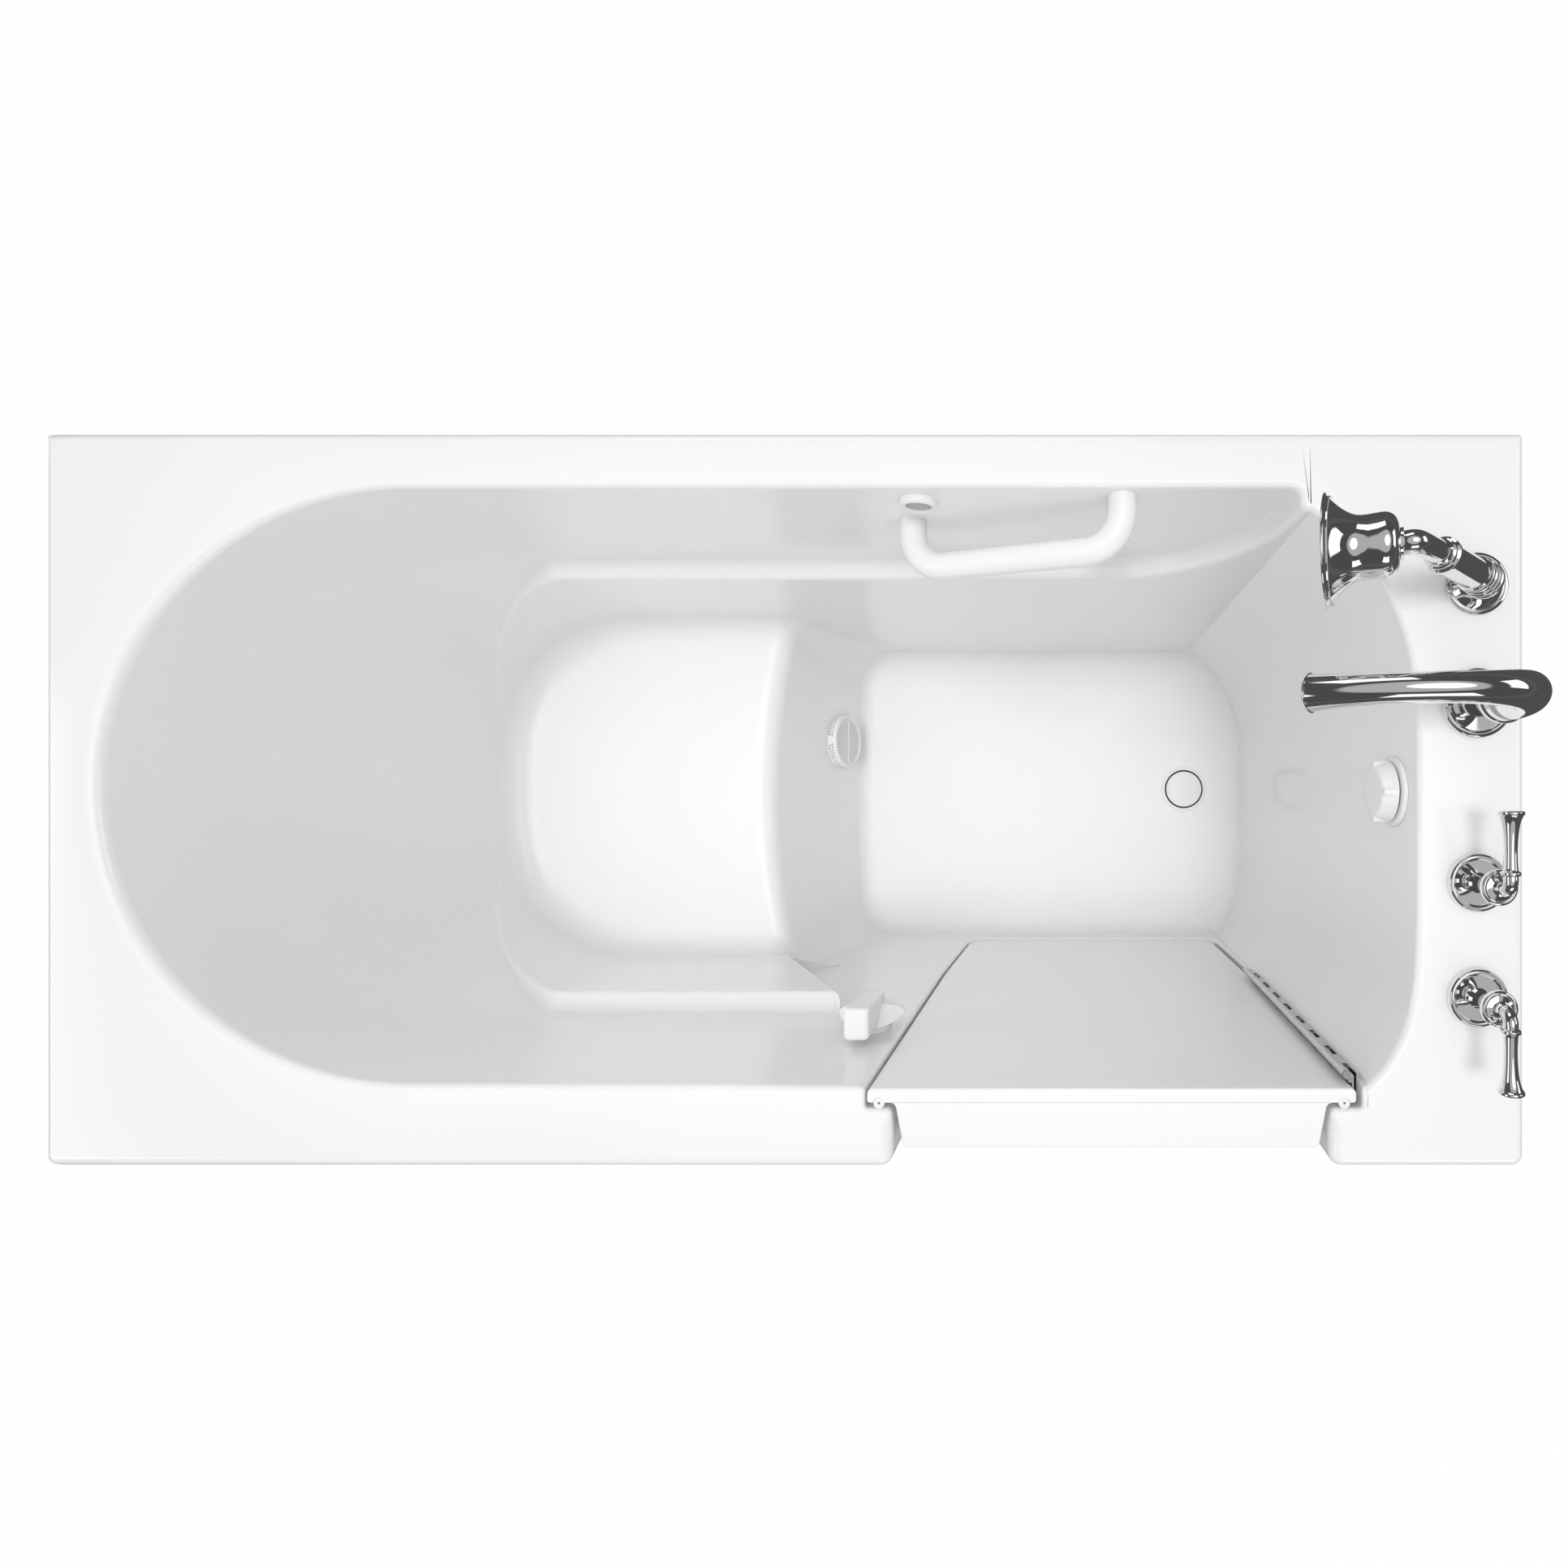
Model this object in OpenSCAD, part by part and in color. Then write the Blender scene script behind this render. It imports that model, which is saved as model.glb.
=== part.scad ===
// Walk-in bathtub with an inward-opening door, deck-mounted taps and a quick-drain pump.
// Millimetres. X runs from the backrest to the tap end, Y from the door side to the wall
// side, Z up. The origin is on the floor, under the middle of the deck.

/* [Deck and shell] */
// Length of the deck, wall to wall
tub_l = 1524; // [1480:1:1580]
// Width of the deck, front to back
tub_w = 757; // [740:1:800]
// Height of the deck above the room's floor
deck_z = 965; // [940:1:1000]
// Thickness of the moulded shell
wall_t = 6; // [4:0.5:8]
// Height of the turned-down lip round the deck
lip_h = 40; // [30:1:50]
// Plan radius of the deck's two front corners
front_corner_r = 12; // [8:1:20]
// Plan radius of the deck's two wall-side corners
back_corner_r = 5; // [3:1:8]
// Width of the deck along the wall side
deck_back = 57.5; // [54:0.5:66]
// Width of the deck along the door side
deck_front = 86; // [84:0.5:92]
// Width of the deck behind the backrest
deck_left = 53; // [50:0.5:70]
// Width of the deck under the taps
deck_right = 110.5; // [104:0.5:120]

/* [Well] */
// Height of the armrest ledge
ledge_z = 700; // [670:1:730]
// Width of the armrest ledge
ledge_w = 25; // [20:1:32]
// Where the wall-side ledge starts to climb to the deck, from the end wall
ledge_end = 322; // [300:1:350]
// Where the climbing ledge reaches the deck, from the end wall
recess_end = 120; // [116:1:130]
// Length of the oval end of the well
oval_l = 320; // [290:1:340]
// Lean of the backrest from upright
recline = 7; // [5:0.5:8]
// Height of the seat
seat_z = 432; // [415:1:460]
// Plan radius of the seat's back corners
seat_r = 135; // [110:1:150]
// Depth of the seat, backrest foot to front edge
seat_d = 424; // [400:1:440]
// How far the seat's front edge is hollowed at its middle
seat_bow = 30; // [20:1:36]
// How far the riser's foot stands out past the seat's edge
riser_run = 74; // [60:1:90]
// Height of the foot well's floor
floor_z = 100; // [98:1:112]
// Plan radius of the foot well's corners at the riser
floor_r = 78; // [60:1:90]
// How far the end wall draws in at its wall-side corner
end_sweep_back = 109; // [104:1:114]
// How far the end wall draws in at its door-side corner
end_sweep_front = 52; // [48:1:54]

/* [Doorway] */
// Distance from the end wall to the hinge side of the door pocket
door_inset = 57; // [55:0.5:62]
// Width of the pocket that the door's flange closes
pocket_w = 512; // [490:1:520]
// Depth of the pocket from the well's front face
pocket_d = 25; // [23.5:0.1:27]
// Width of the rebate that the seal closes on, latch side
rebate_latch = 27.5; // [26:0.5:32]
// Width of the rebate that the seal closes on, hinge side
rebate_hinge = 32.5; // [30:0.5:36]
// Height of the bottom of the door pocket
pocket_z = 183; // [175:1:195]
// Height of the threshold above the pocket's bottom
sill_h = 28; // [26:0.5:32]
// How much the doorway narrows on each side below the hinge
door_taper = 9; // [4:0.5:12]
// Corner radius at the bottom of the doorway
door_corner_r = 40; // [36:1:60]

/* [Door] */
// Gap between the door's flange and its pocket
door_gap = 2.5; // [2:0.1:3.5]
// Extra gap on the hinge side, where the two leaves lie
leaf_gap = 6.5; // [6:0.1:8]
// Thickness of the door's flange
flange_t = 14.5; // [13:0.5:16]
// How far the flange's face stands behind the well's front face
flange_set = 4; // [3:0.5:5]
// Depth of the door's outer body
door_body_d = 47; // [40:1:50]
// Gap between the door's body and the doorway
body_gap = 5; // [4.5:0.1:7]
// Thickness of the door's skins
door_skin = 5; // [4:0.5:6]
// Width of the solid rim round the inner panel
rim_w = 27; // [24:1:32]
// Outer diameter of the bulb seal
seal_d = 11.4; // [10.4:0.1:12]
// Side of the square tube that stiffens the door
stiffener_s = 20; // [16:1:24]

/* [Hinge and latch] */
// Diameter of the hinge's knuckles
barrel_d = 9; // [8:0.5:10]
// Diameter of the hinge pin
pin_d = 4; // [3:0.5:5]
// Thickness of each hinge leaf
leaf_t = 2; // [1.5:0.1:2.2]
// Height of the lower end of the hinge
hinge_z = 487; // [470:1:500]
// Length of the hinge
hinge_l = 464; // [430:1:466]
// Number of knuckles on the hinge
knuckles = 16; // [12:2:20]
// Height of the latch's spindle
latch_z = 772; // [760:1:790]
// Distance from the latch's spindle to the door pocket
latch_inset = 40.5; // [40:0.5:46]
// Length of the eye-shaped latch cam
cam_l = 83; // [76:1:83]
// Height of the eye-shaped latch cam
cam_h = 60; // [50:1:64]
// Height of the latch lever's top above its spindle
lever_h = 78; // [70:1:90]
// Width of the latch lever
lever_w = 30; // [24:1:34]

/* [Grab bar and air switch] */
// Diameter of the grab bar
bar_d = 31; // [28:1:35]
// Distance from the wall to the grab bar's axis
bar_off = 56; // [52:1:62]
// Centre of the grab bar's lower foot, from the end wall
bar_x = 539; // [520:1:545]
// Height of the grab bar's lower foot
bar_z = 863; // [850:1:880]
// Distance between the grab bar's feet
bar_l = 248; // [230:1:250]
// Slope of the grab bar
bar_tilt = 18; // [10:1:18]
// Bend radius of the grab bar
bar_bend = 40; // [34:1:44]
// Centre of the air switch, from the end wall
switch_x = 521; // [515:1:530]
// Height of the air switch
switch_z = 925; // [918:1:930]
// Diameter of the air switch's bezel
switch_d = 42; // [38:1:46]
// Diameter of the air switch's button
button_d = 25; // [20:1:26]
// Travel of the air switch's button
button_travel = 3; // [2:0.5:4]

/* [Taps] */
// Distance from the taps' centre line to the end of the deck
tap_inset = 52; // [48:1:56]
// Place of the hand shower across the deck
shower_y = 221; // [212:1:232]
// Place of the spout across the deck
spout_y = 99; // [92:1:106]
// Place of the first lever handle across the deck
cold_y = -84.5; // [-92:0.5:-76]
// Place of the second lever handle across the deck
hot_y = -202; // [-212:0.5:-194]
// Diameter of the handles' flanges
handle_flange_d = 60; // [54:1:64]
// Height of the handles' lever above the deck
lever_z = 63; // [58:1:70]
// Reach of the handles' lever
lever_reach = 75; // [65:1:80]
// Diameter of the spout's flange
spout_flange_d = 72; // [66:1:78]
// Reach of the spout
spout_reach = 201; // [180:1:215]
// Height of the spout's outlet above the deck
spout_out_z = 87; // [80:1:95]
// Diameter of the hand shower's flange
shower_flange_d = 64; // [58:1:70]
// Lean of the hand shower from upright
shower_lean = 44; // [38:1:48]
// Diameter of the hand shower's mouth
mouth_d = 101; // [90:1:106]
// Length of the hand shower's grip
grip_l = 92; // [85:1:98]

/* [Waste and overflow] */
// Distance from the end wall to the drain
drain_inset = 115; // [108:1:125]
// Place of the drain and the overflow across the tub
drain_y = 8; // [0:1:16]
// Diameter of the drain's flange
drain_d = 94; // [86:1:98]
// Diameter of the drain's stopper
stopper_d = 79; // [70:1:80]
// Lift of the stopper
stopper_lift = 8; // [6:0.5:10]
// Height of the overflow
overflow_z = 902; // [885:1:912]
// Diameter of the overflow's face plate
overflow_d = 78; // [74:1:84]
// Diameter of the overflow's knob
knob_d = 68; // [62:1:70]
// Outer diameter of the waste pipes
waste_d = 38.1; // [36:0.1:40]
// Place of the suction fitting across the tub
suction_y = 104; // [90:1:115]
// Height of the suction fitting
suction_z = 197; // [190:1:215]
// Diameter of the suction fitting's cover
suction_d = 108; // [100:1:112]

/* [Frame and panels] */
// Side of the frame's square tube
tube_s = 25; // [22:1:28]
// Wall of the frame's square tube
tube_t = 2; // [1.5:0.1:3]
// Height of the levelling feet
foot_h = 44; // [40:1:44]
// Thickness of the apron panels
panel_t = 4; // [3:0.5:5]
// How far the aprons stand back from the deck's lip
panel_set = 3; // [2:0.5:4]
// Joint between an apron and its neighbours
panel_joint = 2; // [1.5:0.5:3]
// Width of the service panel in the front apron
access_w = 420; // [360:1:460]
// Height of the service panel in the front apron
access_h = 340; // [300:1:400]

/* [Hidden] */
$fn = 48;

slit = 0.3;          // clearance between pieces that meet without a fit
run_fit = 0.05;      // radial clearance of a running fit
over = 1;            // how far a cutter passes the face that it cuts
skin = 0.1;          // thickness of the slices that a lofted shape hangs on
half_l = tub_l / 2;
half_w = tub_w / 2;

// the well's walls, all from the deck's edges
well_left = -half_l + deck_left;
well_right = half_l - deck_right;
well_back = half_w - deck_back;
well_front = -half_w + deck_front;
low_back = well_back - ledge_w + 1;
low_front = well_front + ledge_w + 1;
foot_front = well_front - 2;
mid_y = (well_back + well_front) / 2;
oval_x = well_left + oval_l;
seat_left = well_left + (deck_z - seat_z) * tan(recline);
ledge_left = well_left + (deck_z - ledge_z) * tan(recline);
seat_edge = seat_left + seat_d;
riser_foot = seat_edge + riser_run;
ledge_x = well_right - ledge_end;
recess_x = well_right - recess_end;

// the doorway and the door
pocket_right = well_right - door_inset;
pocket_left = pocket_right - pocket_w;
pocket_y = well_front - pocket_d;
flange_y = well_front - flange_set;
flange_back = flange_y - flange_t;
body_y = flange_back - door_body_d;
taper_z = hinge_z - 20;
pin_x = pocket_right - leaf_gap - leaf_t - barrel_d / 2 + 0.6;
pin_y = flange_y + barrel_d / 2 + 5;
seal_y = pocket_y + slit + seal_d / 2;
latch_x = pocket_left - latch_inset;
mid_x = pocket_left - 92.5;

// the taps, the waste and the frame
tap_x = half_l - tap_inset;
drain_x = well_right - drain_inset;
frame_out = wall_t + 7;
rail_x = half_l - frame_out - tube_s / 2;
rail_y = half_w - frame_out - tube_s / 2;
base_z = foot_h;
cross_z = floor_z - wall_t - tube_s;
top_z = deck_z - wall_t - tube_s;
pipe_x = well_right + wall_t + 34;
pipe_z = base_z + tube_s - 17;

function arc(c, rx, ry, a0, a1, n) =
  [for (i = [0:n]) let (a = a0 + (a1 - a0) * i / n) [c[0] + rx * cos(a), c[1] + ry * sin(a)]];

// a rectangle whose corners may each have a radius: lower left, lower right, upper right, upper left
function round_rect(x0, y0, x1, y1, r) = concat(
  arc([x0 + r[0], y0 + r[0]], r[0], r[0], 180, 270, 6),
  arc([x1 - r[1], y0 + r[1]], r[1], r[1], 270, 360, 6),
  arc([x1 - r[2], y1 - r[2]], r[2], r[2], 0, 90, 6),
  arc([x0 + r[3], y1 - r[3]], r[3], r[3], 90, 180, 6));

// the well's bowed end wall, from the door side to the wall side
function end_x(y) = well_right - (y > 0
  ? end_sweep_back * pow(y / low_back, 3.7)
  : end_sweep_front * pow(y / foot_front, 6));
function end_wall(grow, n) = [for (i = [0:n])
  let (y = foot_front + (low_back - foot_front) * i / n)
  [end_x(y) + grow, y + grow * (y > 0 ? y / low_back : -y / foot_front)]];

// the doorway seen from the front: narrower below the hinge, round at its lower corners
function doorway(left, right, low, r) =
  let (z = low + r, dl = left + door_taper, dr = right - door_taper)
  concat(
    [[left, deck_z + 20], [left, taper_z]],
    arc([dl + r, z], r, r, 180, 270, 8),
    arc([dr - r, z], r, r, 270, 360, 8),
    [[right, taper_z], [right, deck_z + 20]]);
function pocket_outline(grow) =
  doorway(pocket_left - grow, pocket_right + grow, pocket_z - grow, door_corner_r + grow);
function opening_outline(grow) =
  doorway(pocket_left + rebate_latch - grow, pocket_right - rebate_hinge + grow,
    pocket_z + sill_h - grow, door_corner_r + grow);

function unit(v) = v / norm(v);
function across(v) = unit(abs(v[2]) < 0.9 ? cross(v, [0, 0, 1]) : cross(v, [0, 1, 0]));

// stands a shape drawn along Z on point p, so that it runs along direction d
module aim(p, d) {
  z = unit(d);
  x = across(z);
  y = cross(z, x);
  multmatrix([[x[0], y[0], z[0], p[0]], [x[1], y[1], z[1], p[1]], [x[2], y[2], z[2], p[2]]])
    children();
}

// draws an XZ outline as a plate from y0 to y1
module plate_y(y0, y1) {
  translate([0, y1, 0])
    rotate([90, 0, 0])
      linear_extrude(y1 - y0)
        children();
}

module rod(a, b, r) {
  aim(a, b - a)
    cylinder(h = norm(b - a), r = r);
}

module box(a, b) {
  translate(a)
    cube(b - a);
}

// points along a route whose corners are rounded to a bend radius
function bent(pts, bend, n = 5) =
  let (last = len(pts) - 1, dirs = [for (i = [0:last - 1]) unit(pts[i + 1] - pts[i])])
  concat(
    [pts[0]],
    [for (i = [1:last - 1])
      let (d1 = dirs[i - 1], d2 = dirs[i], turn = acos(min(1, d1 * d2)),
        s = pts[i] - d1 * bend * tan(turn / 2), side = unit(d2 - d1 * (d1 * d2)))
      for (k = [0:n])
        let (a = turn * k / n) s + bend * (side * (1 - cos(a)) + d1 * sin(a))],
    [pts[last]]);

// a tube along points: a radius and a bore for each point, as one closed skin
module sweep(pts, radii, bores = [], sides = 16) {
  last = len(pts) - 1;
  dirs = [for (i = [0:last]) unit(pts[min(i + 1, last)] - pts[max(i - 1, 0)])];
  sidew = [for (i = 0, x = across(dirs[0]); i <= last;
    i = i + 1, x = unit(x - dirs[min(i, last)] * (x * dirs[min(i, last)]))) x];
  hollow = len(bores) > 0;
  rings = [for (r = hollow ? [radii, bores] : [radii], i = [0:last], k = [0:sides - 1])
    let (a = 360 * k / sides)
    pts[i] + r[i] * (sidew[i] * cos(a) + cross(dirs[i], sidew[i]) * sin(a))];
  in = (last + 1) * sides;
  end = last * sides;
  skins = [for (i = [0:last - 1], k = [0:sides - 1])
    let (a = i * sides + k, b = i * sides + (k + 1) % sides)
    each [[a, a + sides, b], [b, a + sides, b + sides]]];
  caps = hollow
    ? [for (k = [0:sides - 1])
      let (j = (k + 1) % sides)
      each [[k, j, in + j], [k, in + j, in + k], [end + j, end + k, in + end + k],
        [end + j, in + end + k, in + end + j]]]
    : [[for (k = [0:sides - 1]) k], [for (k = [sides - 1:-1:0]) end + k]];
  bore_skins = hollow ? [for (f = skins) [f[0] + in, f[2] + in, f[1] + in]] : [];
  polyhedron(points = rings, faces = concat(caps, skins, bore_skins));
}

module bent_rod(pts, r, bend, sides = 16) {
  route = bent(pts, bend);
  sweep(route, [for (p = route) r], sides = sides);
}

module bent_pipe(pts, r, bend, wall, sides = 16) {
  route = bent(pts, bend);
  sweep(route, [for (p = route) r], [for (p = route) r - wall], sides);
}

module straight_pipe(a, b, r, wall) {
  d = unit(b - a);
  difference() {
    rod(a, b, r);
    rod(a - d, b + d, r - wall);
  }
}

function bezier(p, t) =
  pow(1 - t, 3) * p[0] + 3 * pow(1 - t, 2) * t * p[1] + 3 * (1 - t) * t * t * p[2] + t * t * t * p[3];

// ---------------------------------------------------------------- the moulded shell

module deck_plan(inset) {
  f = max(front_corner_r - inset, 1);
  b = max(back_corner_r - inset, 1);
  polygon(round_rect(-half_l + inset, -half_w + inset, half_l - inset, half_w - inset, [f, f, b, b]));
}

// one slice of the oval upper well: its left half only
module oval_slice(left, back, front, grow) {
  polygon(concat(
    arc([oval_x, (back + front) / 2], oval_x - left + grow, (back - front) / 2 + grow, 90, 270, 28),
    [[mid_x + over, front - grow], [mid_x + over, back + grow]]));
}

module seat_slice(grow) {
  r = seat_r + grow;
  polygon(round_rect(seat_left - grow, low_front - grow, mid_x + over, low_back + grow,
    [r, 0.5, 0.5, r]));
}

// one slice of the riser: bowed at the seat's edge, straight with round corners at the floor
module riser_slice(left, bow, r, grow) {
  w = low_back - low_front;
  polygon(concat(
    [for (i = [0:10])
      let (u = -1 + 2 * i / 10)
      [left + bow * u * u + (abs(u) > 0.99 ? r * 0.6 : 0) - grow, mid_low() - u * (w / 2 + grow)]],
    [[mid_x + over, low_front - grow], [mid_x + over, low_back + grow]]));
}
function mid_low() = (low_back + low_front) / 2;

// the space inside the well, or its outside when grown by the wall
module well(grow, top) {
  hull() {
    translate([0, 0, top - skin])
      linear_extrude(skin)
        oval_slice(well_left, well_back, well_front, grow);
    translate([0, 0, ledge_z - grow])
      linear_extrude(skin)
        oval_slice(ledge_left, well_back, well_front, grow);
  }
  hull() {
    translate([0, 0, ledge_z])
      linear_extrude(over)
        oval_slice(ledge_left + 2, low_back, low_front, grow);
    translate([0, 0, seat_z - grow])
      linear_extrude(skin)
        seat_slice(grow);
  }
  hull() {
    translate([0, 0, seat_z])
      linear_extrude(over)
        riser_slice(seat_edge, seat_bow, 4, grow);
    translate([0, 0, floor_z - grow])
      linear_extrude(skin)
        riser_slice(riser_foot, 6, floor_r, grow);
  }
  // the armrest recess, whose ledge climbs to the deck in a quarter oval
  plate_y(well_front - grow, well_back + grow)
    polygon(concat(
      [[mid_x, top], [mid_x, ledge_z - grow]],
      arc([ledge_x, deck_z], recess_x - ledge_x + grow, deck_z - ledge_z + grow, -90, 0, 16),
      top > deck_z ? [[recess_x + grow, top]] : []));
  translate([0, 0, floor_z - grow])
    linear_extrude(top - floor_z + grow)
      polygon(concat(end_wall(grow, 32), [[mid_x, low_back + grow], [mid_x, foot_front - grow]]));
  // the foot well widens to the door's face in front of the seat
  plate_y(foot_front - grow, low_front + over)
    polygon([
      [riser_foot + floor_r, floor_z - grow], [seat_edge + seat_bow + 12 - grow, seat_z],
      [mid_x - 20, ledge_z + over], [mid_x + over, ledge_z + over], [mid_x + over, floor_z - grow]]);
}

module tub_shell() {
  color("white")
    difference() {
      union() {
        translate([0, 0, deck_z - wall_t])
          linear_extrude(wall_t)
            deck_plan(0);
        translate([0, 0, deck_z - lip_h])
          linear_extrude(lip_h)
            difference() {
              deck_plan(0);
              deck_plan(wall_t);
            }
        intersection() {
          union() {
            plate_y(pocket_y - wall_t, foot_front)
              polygon(pocket_outline(wall_t));
            plate_y(-half_w, pocket_y)
              polygon(opening_outline(wall_t));
            plate_y(-half_w, -half_w + wall_t)
              polygon(opening_outline(lip_h));
          }
          box([-half_l, -half_w, 0], [half_l, half_w, deck_z]);
        }
        well(wall_t, deck_z);
      }
      well(0, deck_z + over);
      plate_y(pocket_y, foot_front + over)
        polygon(pocket_outline(0));
      plate_y(-half_w - over, pocket_y + over)
        polygon(opening_outline(0));
      shell_holes();
    }
}

module shell_holes() {
  for (t = [[shower_y, shank_r], [spout_y, shank_r], [cold_y, valve_neck_r], [hot_y, valve_neck_r]])
    translate([tap_x, t[0], deck_z - wall_t - over])
      cylinder(h = wall_t + 2 * over, r = t[1] + 1);
  translate([drain_x, drain_y, floor_z - wall_t - over])
    cylinder(h = wall_t + 2 * over, r = drain_neck_r + 1);
  rod([well_right - over, drain_y, overflow_z], [well_right + wall_t + over, drain_y, overflow_z],
    overflow_neck_r + 1);
  rod([latch_x, foot_front + over, latch_z],
    [latch_x, foot_front - wall_t - over, latch_z], bushing_r + 0.5);
  rod([switch_px, well_back - over, switch_z], [switch_px, well_back + wall_t + over, switch_z],
    switch_neck_r + 0.5);
  for (f = bar_feet)
    rod([f[0], well_back - over, f[1]], [f[0], well_back + wall_t + over, f[1]], bar_stud_r + 0.5);
  aim(suction_at, suction_dir)
    translate([0, 0, -wall_t * 2])
      cylinder(h = wall_t * 4, r = suction_neck_r + 1);
  aim(suction_at, suction_dir)
    cylinder(h = wall_t * 2, r = suction_d / 2 + 1);
}

// ---------------------------------------------------------------- frame and feet

feet_at = [for (x = [-rail_x, 0, rail_x], y = [-rail_y, rail_y]) [x, y]];
seat_rails = [seat_left + 110, seat_edge - 90];
floor_rails = [riser_foot + 60, (riser_foot + drain_x) / 2, drain_x - 70];
post_x = [pocket_left - 46, pocket_right + 22];
valve_room = 120;

// the frame's tubes as boxes: inset 0 gives the outside, inset tube_t the bore
module frame_tubes(i) {
  s = tube_s;
  module tube(a, b) {
    box(a + [i, i, i], b - [i, i, i]);
  }
  for (y = [-rail_y - s / 2, rail_y - s / 2]) {
    tube([-rail_x - s / 2, y, base_z], [rail_x + s / 2, y + s, base_z + s]);
    for (x = [-rail_x - s / 2, rail_x - s / 2])
      tube([x, y, base_z], [x + s, y + s, top_z + s]);
  }
  tube([-rail_x - s / 2, rail_y - s / 2, top_z], [rail_x + s / 2, rail_y + s / 2, top_z + s]);
  tube([-rail_x - s / 2, -rail_y - s / 2, top_z], [post_x[0] + s, -rail_y + s / 2, top_z + s]);
  tube([post_x[1], -rail_y - s / 2, top_z], [rail_x + s / 2, -rail_y + s / 2, top_z + s]);
  for (x = post_x)
    tube([x, -rail_y - s / 2, base_z], [x + s, -rail_y + s / 2, top_z + s]);
  for (e = [[-rail_x, base_z], [-rail_x, top_z], [rail_x, base_z], [rail_x, top_z - valve_room]])
    tube([e[0] - s / 2, -rail_y - s / 2, e[1]], [e[0] + s / 2, rail_y + s / 2, e[1] + s]);
  for (x = floor_rails)
    tube([x - s / 2, -rail_y - s / 2, cross_z], [x + s / 2, rail_y + s / 2, cross_z + s]);
  for (x = seat_rails) {
    tube([x - s / 2, -rail_y - s / 2, cross_z], [x + s / 2, rail_y + s / 2, cross_z + s]);
    tube([x - s / 2, low_front + 60, seat_z - wall_t - s], [x + s / 2, low_back - 60, seat_z - wall_t]);
    for (y = [low_front + 60, low_back - 60 - s])
      tube([x - s / 2, y, cross_z], [x + s / 2, y + s, seat_z - wall_t]);
  }
}

module support_frame() {
  color("slategray")
    difference() {
      frame_tubes(0);
      frame_tubes(tube_t);
      for (f = feet_at)
        translate([f[0], f[1], base_z - over])
          cylinder(h = tube_t + 2 * over, r = stud_r + slit);
    }
}

stud_r = 6;
nut_h = 10;
pad_h = 10;

module foot_studs() {
  color("silver")
    for (f = feet_at)
      translate([f[0], f[1], pad_h / 2])
        cylinder(h = base_z + tube_s - tube_t - 4 - pad_h / 2, r = stud_r);
}

module foot_nuts() {
  color("silver")
    for (f = feet_at)
      translate([f[0], f[1], base_z - nut_h])
        difference() {
          cylinder(h = nut_h, r = stud_r * 1.9, $fn = 6);
          translate([0, 0, -over])
            cylinder(h = nut_h + 2 * over, r = stud_r + run_fit);
        }
}

module foot_pads() {
  color("dimgray")
    for (f = feet_at)
      translate([f[0], f[1], 0])
        difference() {
          rotate_extrude()
            polygon([[0, 0], [24, 0], [25, 2], [24, 5], [12, pad_h], [0, pad_h]]);
          translate([0, 0, pad_h / 2])
            cylinder(h = pad_h, r = stud_r + run_fit);
        }
}

// ---------------------------------------------------------------- aprons

apron_y = -half_w + panel_set;
apron_top = deck_z - lip_h - panel_joint;
apron_low = 12;
access_x = seat_left + 60;
access_z = apron_low + 60;
screw_in = 22;
access_screw_at = [for (x = [access_x + screw_in, access_x + access_w - screw_in],
  z = [access_z + screw_in, access_z + access_h - screw_in]) [x, z]];

module front_apron() {
  color("whitesmoke")
    difference() {
      union() {
        box([-half_l + panel_set, apron_y, apron_low], [half_l - panel_set, apron_y + panel_t, apron_top]);
        box([-half_l + wall_t + 12, -half_w + wall_t + slit, apron_top - over],
          [half_l - wall_t - 12, apron_y + panel_t + over, apron_top + lip_h - wall_t - over]);
        plate_y(-half_w + wall_t + slit, -half_w + wall_t + slit + panel_t - 1)
          polygon([for (p = opening_outline(lip_h + 14)) [p[0], min(p[1], apron_top + 20)]]);
        plate_y(-half_w + wall_t + slit, -half_w + wall_t + slit + panel_t - 1)
          polygon(round_rect(access_x - 14, access_z - 14, access_x + access_w + 14,
            access_z + access_h + 14, [8, 8, 8, 8]));
      }
      plate_y(apron_y - over, -half_w + wall_t + slit)
        polygon(opening_outline(lip_h + panel_joint));
      plate_y(apron_y - over, 0)
        polygon(opening_outline(wall_t + slit));
      plate_y(apron_y - over, -half_w + wall_t + slit)
        polygon(round_rect(access_x, access_z, access_x + access_w, access_z + access_h, [6, 6, 6, 6]));
      plate_y(apron_y - over, 0)
        polygon(round_rect(access_x + 36, access_z + 36, access_x + access_w - 36,
          access_z + access_h - 36, [6, 6, 6, 6]));
      for (s = access_screw_at)
        rod([s[0], apron_y - over, s[1]], [s[0], 0, s[1]], 1.6);
    }
}

module access_panel() {
  color("white")
    difference() {
      plate_y(apron_y, -half_w + wall_t + slit - 0.1)
        polygon(round_rect(access_x + panel_joint, access_z + panel_joint,
          access_x + access_w - panel_joint, access_z + access_h - panel_joint, [5, 5, 5, 5]));
      for (s = access_screw_at)
        rod([s[0], apron_y - over, s[1]], [s[0], 0, s[1]], 2.2);
    }
}

module access_screws() {
  color("white")
    for (s = access_screw_at) {
      rod([s[0], apron_y - 2, s[1]], [s[0], apron_y - 0.05, s[1]], 5);
      rod([s[0], apron_y - 0.05, s[1]], [s[0], apron_y + 11, s[1]], 1.55);
    }
}

module end_apron(side) {
  x = half_l - panel_set;
  mirror([side < 0 ? 1 : 0, 0, 0])
    union() {
      box([x - panel_t, apron_y + panel_t + slit, apron_low], [x, half_w - panel_set, apron_top]);
      box([half_l - wall_t - slit - panel_t, apron_y + panel_t + 8, apron_top - over],
        [half_l - wall_t - slit, half_w - wall_t - 12, apron_top + lip_h - wall_t - over]);
    }
}

module end_apron_left() {
  color("whitesmoke")
    end_apron(-1);
}

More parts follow.
